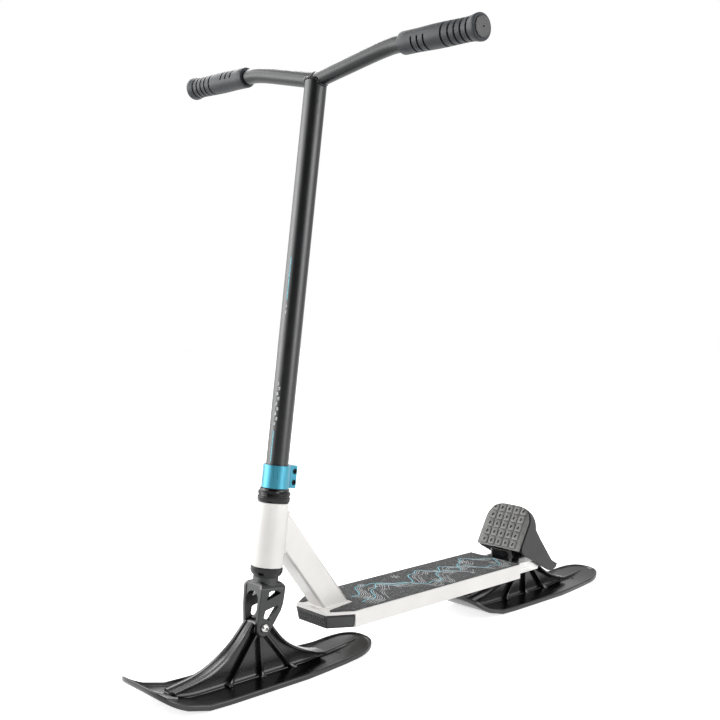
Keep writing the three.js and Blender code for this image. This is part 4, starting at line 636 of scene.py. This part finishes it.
# (radius, place) of the end and the bore
GRIP_INSIDE = [(13.9, 134), (13.7, 132.6), (11.2, 132.6), (11.2, 0), (13.5, 0)]
SLOT_MIDDLE = radians(45)  # round the grip, from the side that faces the front towards the top
SLOT_REACH = radians(43)
SLOT_END = 0.06


def between(table, at):
    """Value of a table of (place, value) pairs at a place between them."""
    for (a, va), (b, vb) in zip(table, table[1:]):
        if at <= b:
            return va + (vb - va) * (at - a) / (b - a)
    return table[-1][1]


def dip(distance, half, wall):
    """1 inside a groove, falling to 0 over its wall."""
    return max(0.0, min(1.0, (half + wall - abs(distance)) / wall))


def deepest(z, places):
    return max(dip(z - at, GROOVE_HALF, GROOVE_WALL) for at in places)


def make_grip(side, label):
    """The outside is a grid round the grip, sunk at the rings and at the short slots, which are also painted darker
    as shade.
    """
    edge = GROOVE_HALF + GROOVE_WALL
    rows = sorted({*[z for z, _ in GRIP_OUTSIDE],
                   *[at + d for at in GRIP_RINGS + GRIP_SLOTS for d in (-edge, -GROOVE_HALF, 0, GROOVE_HALF, edge)]})
    around, first = 120, -pi / 2
    rings, vertex_shade_marks = [], []
    for z in rows:
        ring = []
        for j, (x, y) in enumerate(circle(1, around, first)):
            turn = side * (2 * pi * j / around - SLOT_MIDDLE)
            turn = (turn + pi) % (2 * pi) - pi
            slot, groove = deepest(z, GRIP_SLOTS) * dip(turn, SLOT_REACH, SLOT_END), deepest(z, GRIP_RINGS)
            radius = (between(GRIP_OUTSIDE, z) - max(SLOT_DEPTH * slot, RING_DEPTH * groove)) * MM
            ring.append((radius * x, radius * y, z * MM - GRIP_LENGTH))
            # Painted shade: the slots and rings are darkened in colour.
            vertex_shade_marks.append(max(slot, 0.9 * groove))
        rings.append(ring)
    rings += [[(x, y, z * MM - GRIP_LENGTH) for x, y in circle(radius * MM, around, first)]
              for radius, z in GRIP_INSIDE]
    rings.append(rings[0])
    vertex_shade_marks += [0.0] * (around * (len(GRIP_INSIDE) + 1))
    verts, faces = loft(rings, closed_ends=False)
    grip = piece(f"grip_cover_{label}", verts, faces, "steering", "grip_rubber", place=STEER @ grip_frame(side),
                 vertex_shade_marks=vertex_shade_marks)
    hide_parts(f"grip_{label}")


RISER_FOOT = 188.1 * MM
RISER_BORE = 13 * MM
SLIT_TOP = RISER_FOOT + 40 * MM
SADDLE_FOOT = JUNCTION - 40 * MM
ARM_GAP = 0.3 * MM


def saddle_height(x, y):
    """Height at which the underside of the bar's arms stands over a place, at most the junction's."""
    along = (BEND - Vector((0, 0, JUNCTION))).normalized()
    flat = abs(x) * along.x + y * along.y
    a = 1 - along.z ** 2
    b = -2 * along.z * flat
    c = x * x + y * y - flat ** 2 - (BAR + ARM_GAP) ** 2
    root = b * b - 4 * a * c
    return JUNCTION if root < 0 else JUNCTION + min(0.0, (-b - sqrt(root)) / (2 * a))


def make_riser():
    """A tube with its top cut to the arms and a slit at the back of its foot."""
    count, slit = 96, (23, 24)
    angles = [2 * pi * (j + 0.5) / count for j in range(count)]
    rings = []
    for radius in (TUBE, RISER_BORE):
        flat = [(radius * cos(angle), radius * sin(angle)) for angle in angles]
        column = [[(x, y, z) for x, y in flat] for z in (RISER_FOOT, SLIT_TOP, SADDLE_FOOT)]
        column.append([(x, y, saddle_height(x, y)) for x, y in flat])
        rings += column if radius == TUBE else reversed(column)
    verts, faces = loft(rings, closed_ends=False)
    outer_foot, outer_slit, inner_slit, inner_foot = [k * count for k in (0, 1, 6, 7)]
    faces += [(inner_foot + j, inner_foot + (j + 1) % count, (j + 1) % count, j) for j in range(count)]
    gone = {0, 6, 7}  # bands of faces that the slit cuts: outside, inside and the foot's edge
    kept = [face for i, face in enumerate(faces) if not (i // count in gone and i % count in slit)]
    for j, order in ((slit[0], 1), (slit[-1] + 1, -1)):
        kept.append((outer_foot + j, outer_slit + j, inner_slit + j, inner_foot + j)[::order])
    kept += [(outer_slit + j, outer_slit + j + 1, inner_slit + j + 1, inner_slit + j) for j in slit]
    riser = piece("riser_tube", verts, kept, "steering", "black_steel", place=STEER)
    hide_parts("handlebar_riser")


# Piece, node, body, slot, material and (radius, height) outline in millimetres of what turns about the steering line
HEADSET = (
    ("head_tube_shell", "head_tube", "frame", "white_paint", None,
     [(17.3, 78), (21.7, 78), (22.2, 78.5), (22.2, 167.5), (21.7, 168), (17.3, 168)]),
    ("cup_upper_shell", "upper_headset_cup", "frame", "black_alloy", GLOSS_BLACK,
     [(20.9, 168.3), (21.5, 168.3), (22.9, 170.2), (23.3, 171), (23.3, 175.6), (22.7, 176.4), (22.3, 176.9),
      (22.3, 178.8), (20.9, 178.8)]),
    ("cup_lower_shell", "lower_headset_cup", "frame", "black_alloy", GLOSS_BLACK,
     [(20.9, 77.7), (22.5, 77.7), (23, 77.2), (23, 71.6), (22.6, 70.7), (20.95, 67.2), (20.9, 67.2)]),
    ("cover_shell", "headset_cover", "steering", "black_alloy", GLOSS_BLACK,
     [(13.2, 179.1), (22.7, 179.1), (23.3, 179.6), (23.3, 181.6), (22.7, 182.4), (20.9, 184.8), (20.7, 185.4),
      (20.7, 187.2), (20.1, 187.8), (13.2, 187.8)]),
)


def make_headset():
    """Head tube, cups and cover as round as the real ones."""
    for name, node, body, slot_name, material, rows in HEADSET:
        shape = turned([(radius * MM, z * MM) for radius, z in rows + rows[:1]], 96)
        made = piece(name, *shape, body, slot_name, material, place=STEER)
        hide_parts(node)


# ---- welds
DOWN_TUBE = Vector((0, cos(radians(52)), -sin(radians(52))))
DOWN_TUBE_FRONT = Vector((0, DOWN_TUBE.z, -DOWN_TUBE.y))
DOWN_TUBE_HALVES = (16.5 * MM, 20.25 * MM)
DOWN_TUBE_CORNER = 4 * MM
DECK_TOP = 79.5 * MM
DECK_NOSE = -206.85 * MM
DOWN_TUBE_FOOT = Vector((0, DECK_NOSE + 62.5 * MM, DECK_TOP)) + DOWN_TUBE_FRONT * DOWN_TUBE_HALVES[1]
HEAD_RADIUS = 22.2 * MM


def bead(points, radius, pitch, ripple):
    """A weld round a closed line: its thickness ripples along it."""
    aheads, radii, travelled = [], [], 0.0
    for before, point, after in zip(points[-1:] + points, points, points[1:] + points[:1]):
        aheads.append((after - before).normalized())
        radii.append(radius * (1 + ripple * sin(2 * pi * travelled / pitch)))
        travelled += (after - point).length
    rings = hoops(points, aheads, radii, 12)
    # A copy of the first ring, turned to match the last one, closes it.
    first, last = rings[0], rings[-1]
    turn = min(range(len(first)), key=lambda k: (last[0] - first[k]).length)
    rings.append(first[turn:] + first[:turn])
    return loft(rings, closed_ends=False)


def arcs(corners, count):
    """Places along quarter circles of count points each: (middle x, middle y, radius, start in degrees)."""
    places = []
    for x, y, radius, start in corners:
        for k in range(count):
            angle = radians(start + 90 / (count - 1) * k)
            places.append((x + radius * cos(angle), y + radius * sin(angle)))
    return places


def box_corners(half, low, high, radius):
    """Round corners of a box from -half to half and from low to high, for arcs."""
    x, bottom, top = half - radius, low + radius, high - radius
    return (x, top, radius, 0), (-x, top, radius, 90), (-x, bottom, radius, 180), (x, bottom, radius, 270)


def down_tube_edge():
    """Places round the down tube's section, in its own plane."""
    half_x, half_y = DOWN_TUBE_HALVES
    places = [Vector(place) for place in arcs(box_corners(half_x, -half_y, half_y, DOWN_TUBE_CORNER), 7)]
    dense, spacing = [], 2.2 * MM
    for a, b in zip(places, places[1:] + places[:1]):
        parts = max(1, round((b - a).length / spacing))
        dense += [a.lerp(b, k / parts) for k in range(parts)]
    return dense


def tube_line(place):
    return DOWN_TUBE_FOOT + Vector((1, 0, 0)) * place.x + DOWN_TUBE_FRONT * place.y


def to_deck(place):
    start = tube_line(place)
    return start + DOWN_TUBE * ((DECK_TOP + 0.4 * MM - start.z) / DOWN_TUBE.z)


def to_head_tube(place):
    """Where the line through a place of the down tube's section meets the round head tube."""
    start = tube_line(place)
    axis = STEER.to_3x3() @ Vector((0, 0, 1))
    reach, back = start - STEER_POINT, -DOWN_TUBE
    reach, ahead = reach - axis * reach.dot(axis), back - axis * back.dot(axis)
    a, b, c = ahead.dot(ahead), 2 * reach.dot(ahead), reach.dot(reach) - (HEAD_RADIUS + 0.2 * MM) ** 2
    return start + back * ((-b - sqrt(max(0.0, b * b - 4 * a * c))) / (2 * a))


def make_welds():
    edge = down_tube_edge()
    for name, meet, radius in (("weld_neck", to_head_tube, 2.6 * MM), ("weld_deck", to_deck, 1.7 * MM)):
        piece(name, *bead([meet(p) for p in edge], radius, 4.4 * MM, 0.07), "frame", "white_paint")
    saddle = [Vector((x, y, saddle_height(x, y) + 0.2 * MM)) for x, y in circle(TUBE + 0.3 * MM, 72)]
    piece("weld_riser", *bead(saddle, 1.7 * MM, 3.6 * MM, 0.22), "steering", "black_steel", GLOSS_BLACK, place=STEER)
    seam = [Vector((0, (BAR + 0.1 * MM) * x, JUNCTION + (BAR + 0.5 * MM) * y)) for x, y in circle(1, 40)]
    piece("weld_arms", *bead(seam, 1.5 * MM, 3.6 * MM, 0.2), "steering", "black_steel", place=STEER)


# ---- foot stop's pad, in millimetres
PAD_PLACE = Matrix.Translation((0, 225.75 * MM, 99.5 * MM)) @ Matrix.Rotation(radians(60.3 - 90), 4, "X")
PAD_HALF, PAD_LENGTH, PAD_CORNER, PAD_THICK = 45.5, 80.0, 30.0, 4.7
PAD_SECTION = [(0.8, PAD_THICK), (0, PAD_THICK - 0.8), (0, 1.0), (0.3, 0.3), (1.0, 0)]  # (inset, depth)
STUDS = 5  # in a row, and rows
STUD_PITCH, STUD_ROW, STUD_HALF = 15.4, 9.6, 6.5
STUD_POINTS = 32
# (share of the stud's half, height above the plate, squareness)
STUD_SECTIONS = [(1.17, -0.2, 7), (1.16, 0.3, 6.5), (1.1, 0.8, 5.5), (0.95, 1.25, 4.5), (0.65, 1.5, 3)]
# (share of the hole's halves, height above the plate, level of painted shade, which darkens the hole)
HOLE_SECTIONS = [(1.25, 1.55, 0.2), (1.05, 1.3, 1.0), (0.95, 0.12, 1.0)]
HOLE_HALVES = (1.7, 2.7)
HOLE_LEAN = radians(-24)
STUD_MARGIN, CORNER_MARGIN = 0.4, 0.9


def pad_outline(inset):
    """The pad's outline, square at the foot and round at the top."""
    half, corner, foot = PAD_HALF - inset, PAD_CORNER - inset, 1.5
    x, top, low = half - corner, PAD_LENGTH - inset - corner, inset + foot
    return arcs(((half - foot, low, foot, -90), (x, top, corner, 0), (-x, top, corner, 90),
                 (foot - half, low, foot, 180)), 13)


def stud_loops():
    """Rings round a stud's own middle, up its side and down its hole, each with its level of painted shade."""
    round_places = circle(1, STUD_POINTS)
    loops = []
    for share, up, square in STUD_SECTIONS:
        reach = [share * STUD_HALF / (abs(c) ** square + abs(s) ** square) ** (1 / square) for c, s in round_places]
        loops.append(([(r * c, up, r * s) for r, (c, s) in zip(reach, round_places)], 0.0))
    lean_cos, lean_sin = cos(HOLE_LEAN), sin(HOLE_LEAN)
    for share, up, shade_level in HOLE_SECTIONS:
        halves = [(HOLE_HALVES[0] * share * c, HOLE_HALVES[1] * share * s) for c, s in round_places]
        loops.append(([(a * lean_cos - b * lean_sin, up, a * lean_sin + b * lean_cos) for a, b in halves], shade_level))
    return loops


def inside_corner(x, up, z):
    centre = Vector((copysign(PAD_HALF - PAD_CORNER, x), PAD_LENGTH - PAD_CORNER))
    out = Vector((x, z)) - centre
    if out.y > 0 and out.x * x > 0 and out.length > PAD_CORNER - CORNER_MARGIN:
        out = out.normalized() * (PAD_CORNER - CORNER_MARGIN)
    return centre.x + out.x, up, centre.y + out.y


def make_pad():
    """A plate with rounded edges and rows of pillow-shaped studs, each with a slanted hole whose inside is painted
    dark as shade.
    """
    rings = [[(x * MM, y * MM, z * MM) for x, z in pad_outline(inset)] for inset, y in PAD_SECTION]
    shells = [loft(rings)]
    vertex_shade_marks = [0.0] * (len(rings) * len(rings[0]))
    loops, limit = stud_loops(), PAD_HALF - STUD_MARGIN
    for row in range(STUDS):
        for column in range(STUDS):
            cx, cz = (column - STUDS // 2) * STUD_PITCH, STUD_ROW + row * STUD_PITCH
            stud = []
            for loop, shade_level in loops:
                placed = [(min(limit, max(-limit, cx + x)), up, cz + z) for x, up, z in loop]
                if row == STUDS - 1 and column in (0, STUDS - 1):
                    placed = [inside_corner(*place) for place in placed]
                stud.append([(x * MM, -up * MM, z * MM) for x, up, z in placed])
                # The holes' darker colour is painted shade.
                vertex_shade_marks += [shade_level] * STUD_POINTS
            shells.append(loft(stud))
    pad = piece("pad_cover", *joined(*shells), "frame", "pad_rubber", place=PAD_PLACE, vertex_shade_marks=vertex_shade_marks)
    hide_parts("foot_stop_pad")


# ---- bumper relief
BUMPER_TOP, BUMPER_LOW = 74.7 * MM, 55.2 * MM
BUMPER_LEAN = 4.0 * MM
BUMPER_PROUD = 0.8 * MM
FRONT_HALF = 32 * MM  # where the front face ends and a slanted one starts
SLANT_X, SLANT_Y = 55 * MM, 38 * MM  # where the slanted face ends, from the middle and from the deck's nose
# (inset, height, level of painted shade) of a panel with its groove, the first two in millimetres; the groove is
# painted dark as shade
PANEL_SECTION = [(0.9, -0.2, 1.0), (0.9, 0.12, 1.0), (2.1, 0.14, 1.0), (2.3, 0.65, 0.2), (2.9, 0.8, 0.0)]
PANEL_CORNER = 2.2 * MM
PYRAMID_COLUMNS, PYRAMID_ROWS = 13, 4
PYRAMID_MARGINS = (2.2 * MM, 1.7 * MM)
# (share of the pitch from a pyramid's middle to its side, height, level of painted shade, dark at the pyramids' feet)
PYRAMID_SECTION = [(0.47, -0.15 * MM, 1.0), (0.16, 1.7 * MM, 0.0)]
SQUARE = [(-1, -1), (1, -1), (1, 1), (-1, 1)]


def bumper_face(side):
    """Middle of a bumper face's lower edge, directions along, up and out of it, its half width and height."""
    if side == 0:
        outward, along, middle, half = Vector((0, -1, 0)), Vector((1, 0, 0)), Vector((0, DECK_NOSE, 0)), FRONT_HALF
    else:
        run = Vector(((SLANT_X - FRONT_HALF) * side, SLANT_Y, 0))
        along = run.normalized() * side
        outward = Vector((run.y * side, -run.x * side, 0)).normalized()
        middle = Vector((side * (FRONT_HALF + SLANT_X) / 2, DECK_NOSE + SLANT_Y / 2, 0))
        half = run.length / 2
    low = middle + outward * (BUMPER_PROUD - BUMPER_LEAN) + Vector((0, 0, BUMPER_LOW))
    high = middle + outward * BUMPER_PROUD + Vector((0, 0, BUMPER_TOP))
    up = (high - low).normalized()
    return low, along, up, along.cross(up), half, (high - low).length


def make_bumper_panel(side, label):
    low, along, up, out, half, tall = bumper_face(side)
    rings, shade_marks = [], []
    for inset, height, shade_level in PANEL_SECTION:
        edge = inset * MM
        places = arcs(box_corners(half - edge, edge, tall - edge, PANEL_CORNER), 6)
        rings.append([low + along * x + up * z + out * height * MM for x, z in places])
        # The groove's darker colour is painted shade.
        shade_marks += [shade_level] * len(places)
    piece(f"bumper_panel_{label}", *loft(rings), "frame", "dark_plastic", PANEL_GREY, vertex_shade_marks=shade_marks)


def make_bumper_pyramids():
    low, along, up, out, half, tall = bumper_face(0)
    margin_x, margin_z = PYRAMID_MARGINS
    pitch_x, pitch_z = 2 * (half - margin_x) / PYRAMID_COLUMNS, (tall - 2 * margin_z) / PYRAMID_ROWS
    pyramids = []
    for i in range(PYRAMID_COLUMNS):
        for j in range(PYRAMID_ROWS):
            x, z = margin_x - half + (i + 0.5) * pitch_x, margin_z + (j + 0.5) * pitch_z
            pyramids.append(loft([[low + along * (x + share * dx * pitch_x) + up * (z + share * dz * pitch_z)
                                   + out * height for dx, dz in SQUARE] for share, height, _ in PYRAMID_SECTION]))
    # Painted shade: the pyramids darken towards their feet.
    shade_marks = [shade_level for *_, shade_level in PYRAMID_SECTION for _ in SQUARE] * len(pyramids)
    piece("bumper_pyramids", *joined(*pyramids), "frame", "dark_plastic", PANEL_GREY, smooth=False, vertex_shade_marks=shade_marks)


# ---- prints
TAPE_TOP = 80.8 * MM
PRINT_START, PRINT_END = 74, 424  # from the deck's nose, in millimetres
PRINT_HALF = 52 * MM
# (place across, swing, length, phase) of a wave, in millimetres and radians
WAVES = [(6, 26, 150, 0.4), (-12, 20, 120, 2.2)]
WAVE_STEPS = 220
RIPPLE_SWING, RIPPLE_LENGTH = 5, 37
ECHOES = 6
ECHO_X, ECHO_Y = 3.4, 1.5  # steps from a wave to its thin lines, in millimetres
WAVE_LIFT, STAR_LIFT, ECHO_LIFT = 0.06 * MM, 0.05 * MM, 0.04 * MM
STARS = 9


def ribbon(points, width, lift):
    """A flat printed line along points on the grit sheet."""
    rows = []
    for i, point in enumerate(points):
        ahead = direction_at(points, i)
        side = Vector((-ahead.y, ahead.x, 0)) * width / 2
        rows.append([(point.x + sign * side.x, point.y + sign * side.y, TAPE_TOP + lift) for sign in (-1, 1)])
    return loft(rows, closed_ends=False, closed_ring=False)


def dashes(points, length):
    """Runs of points on the sheet; after two lengths comes a gap of one."""
    runs = [[]]
    for i, point in enumerate(points):
        if abs(point.x) < PRINT_HALF and (i // length) % 3 != 2:
            runs[-1].append(point)
        else:
            runs.append([])
    return [run for run in runs if len(run) > 2]


def star(centre, reach, turn):
    """Six arms with two pairs of barbs each."""
    lines = []
    for arm in range(6):
        angle = radians(60 * arm + turn)
        along, across = Vector((cos(angle), sin(angle), 0)), Vector((-sin(angle), cos(angle), 0))
        lines.append(ribbon([centre, centre + along * reach], 0.9 * MM, STAR_LIFT))
        for root in [centre + along * reach * share for share in (0.45, 0.72)]:
            for sign in (-1, 1):
                barb = (along + across * sign).normalized() * reach * 0.26
                lines.append(ribbon([root, root + barb], 0.7 * MM, STAR_LIFT))
    return lines


def make_tape_print():
    """A plain motif of waves, their thin echoes and frost stars in the photograph's two colours."""
    rear = DECK_NOSE + PRINT_END * MM
    waves, lines = [], []
    for index, (across, swing, length, phase) in enumerate(WAVES):
        start = DECK_NOSE + (PRINT_START + 6 * index) * MM
        path = []
        for y in [start + (rear - start) * i / WAVE_STEPS for i in range(WAVE_STEPS + 1)]:
            swung = swing * sin(2 * pi * (y / MM) / length + phase)
            rippled = RIPPLE_SWING * sin(2 * pi * (y / MM) / RIPPLE_LENGTH + index)
            path.append(Vector(((across + swung + rippled) * MM, y, 0)))
        waves.append(ribbon(path, 1.5 * MM, WAVE_LIFT))
        for step in range(1, ECHOES + 1):
            right, back = ECHO_X * step * MM, ECHO_Y * step * MM
            echo = [Vector((p.x + right, p.y + back, 0)) for p in path if p.y + back < rear]
            lines += [ribbon(run, 0.9 * MM, ECHO_LIFT) for run in dashes(echo, 19 - 2 * step)]
    for k in range(STARS):
        centre = Vector(((-1) ** k * (24 + 13 * sin(2.3 * k)) * MM, DECK_NOSE + (96 + 38 * k) * MM, 0))
        lines += star(centre, (7 + 3 * cos(1.7 * k)) * MM, 11 * k)
    piece("tape_print_waves", *joined(*waves), "frame", "grip_tape", CYAN_PRINT, smooth=False)
    piece("tape_print_lines", *joined(*lines), "frame", "grip_tape", WHITE_PRINT, smooth=False)


def tube_stripe(turn, width, low, high):
    """A thin strip on the riser's outside, turned from its front by degrees, in millimetres."""
    radius = TUBE + 0.05 * MM
    angles = [radians(turn) - pi / 2 + (k / 4 - 0.5) * width * MM / TUBE for k in range(5)]
    rows = [[(radius * cos(angle), radius * sin(angle), z * MM) for angle in angles] for z in (low, high)]
    return loft(rows, closed_ends=False, closed_ring=False)


def make_riser_print():
    """Plain pinstripes: a cyan line above the clamp and one near the top, and rows of short pale dashes."""
    turn = 12
    cyan = [tube_stripe(turn, 1.5, low, high) for low, high in ((224, 268), (452, 512))]
    pale = [tube_stripe(turn + 9 * (k % 2), 2.6, 276 + 7 * k, 280.5 + 7 * k) for k in range(9)]
    pale += [tube_stripe(turn, 1.3, 432 + 8 * k, 437 + 8 * k) for k in range(2)]
    piece("riser_print_cyan", *joined(*cyan), "steering", "black_steel", CYAN_PRINT, place=STEER)
    piece("riser_print_pale", *joined(*pale), "steering", "black_steel", WHITE_PRINT, place=STEER)


make_camera()
dress_cad_nodes()
make_riser()
make_headset()
make_welds()
make_pad()
make_bumper_panel(-1, "right")
make_bumper_panel(1, "left")
make_bumper_pyramids()
make_tape_print()
make_riser_print()
make_ski("ski_front", FRONT_PIVOT, "front_ski")
make_ski("ski_rear", REAR_PIVOT, "rear_ski")
for sign, word in ((1, "left"), (-1, "right")):
    make_bar(sign, word)
    make_grip(sign, word)


# ---- stage
def make_stage():
    """A white floor that adds light of its own to what the camera and mirrors see of it."""
    floor_mesh = bpy.data.meshes.new("floor")
    reach = 6.0
    floor_mesh.from_pydata([(x * reach, y * reach, 0) for x, y in SQUARE], [], [(0, 1, 2, 3)])
    floor = in_scene("floor", floor_mesh)
    floor.location.z = -0.5 * MM
    n = Nodes("floor", 0.9)
    n.base(n.ramp(n.noise(2, 1), [(0.3, (0.93, 0.93, 0.93, 1)), (0.7, (0.95, 0.95, 0.95, 1))]))
    path = n.add("ShaderNodeLightPath").outputs
    either = n.add("ShaderNodeMath", path["Is Camera Ray"], path["Is Glossy Ray"], operation="MAXIMUM")
    light = n.add("ShaderNodeEmission", Color=(1, 1, 1, 1), Strength=0.72)
    paint = n.shader.outputs[0]
    total = n.add("ShaderNodeAddShader", paint, light.outputs[0])
    choice = n.add("ShaderNodeMixShader", either.outputs[0], paint, total.outputs[0])
    n.put(n.tree.nodes["Material Output"].inputs["Surface"], choice.outputs[0])
    floor_mesh.materials.append(n.material)


def studio_side(turn, lift):
    """A direction turned from the camera's, clockwise seen from above, and lifted, both in degrees."""
    angle, up = CAMERA_AZIMUTH - radians(turn), radians(lift)
    return Vector((sin(angle) * cos(up), -cos(angle) * cos(up), sin(up)))


# Towards the photographer the studio is dark, which gives round blacks and metal their dark middle. Large soft
# boxes stand at its left and right. Rows: direction, cosines of a cone's rim and core, light outside and in the core.
STUDIO_SIDES = ((studio_side(0, 0), 0.5, 0.8, 0.9, 0.07),
                (studio_side(92, 4), 0.64, 0.86, 0.0, 3.8),
                (studio_side(-64, 8), 0.86, 0.96, 0.0, 4.0))


def make_world():
    """White for the camera, an even fill for dull surfaces, and the studio's sides for mirrors and glass."""
    world = bpy.data.worlds.new("studio")
    bpy.context.scene.world = world
    n = Tree(world)
    place = n.add("ShaderNodeTexCoord").outputs["Generated"]
    level = None
    for side, start, full, low, high in STUDIO_SIDES:
        cosine = n.add("ShaderNodeVectorMath", place, side, operation="DOT_PRODUCT").outputs["Value"]
        shade = n.span(cosine, low, high, start, full)
        level = shade if level is None else n.add("ShaderNodeMath", level, shade, operation="ADD").outputs[0]
    fill, plain, mirror = [n.add("ShaderNodeBackground", (1, 1, 1, 1), strength).outputs[0]
                           for strength in (0.5, 1.0, level)]
    path = n.add("ShaderNodeLightPath").outputs
    either = n.add("ShaderNodeMath", path["Is Glossy Ray"], path["Is Transmission Ray"], operation="MAXIMUM")
    seen = n.add("ShaderNodeMixShader", either.outputs[0], fill, mirror).outputs[0]
    seen = n.add("ShaderNodeMixShader", path["Is Camera Ray"], seen, plain).outputs[0]
    n.put(n.tree.nodes["World Output"].inputs["Surface"], seen)


def make_lamp(name, place, target, size, power):
    data = bpy.data.lights.new(name, "AREA")
    data.shape = "RECTANGLE"
    data.size, data.size_y = size
    data.energy = power
    lamp = in_scene(name, data)
    lamp.location = place
    lamp.rotation_mode = "QUATERNION"
    lamp.rotation_quaternion = (Vector(target) - Vector(place)).to_track_quat("-Z", "Y")


make_stage()
make_world()
make_lamp("key", (1.9, -0.2, 2.2), (0, 0, 0.3), (0.9, 1.4), 18.5)
make_lamp("left_box", (-1.55, -1.85, 0.8), (0, -0.1, 0.4), (1.2, 1.6), 28)
make_lamp("right_strip", (2.25, 0.5, 0.8), (0, -0.1, 0.4), (0.4, 1.6), 11)
make_lamp("top_left", (-2.0, 0.3, 2.1), (0, 0, 0.1), (2.0, 0.6), 26)
make_lamp("back_top", (-0.3, 2.1, 2.3), (0, -0.1, 0.1), (2.0, 0.4), 14)
bpy.context.scene.view_settings.view_transform = "Standard"
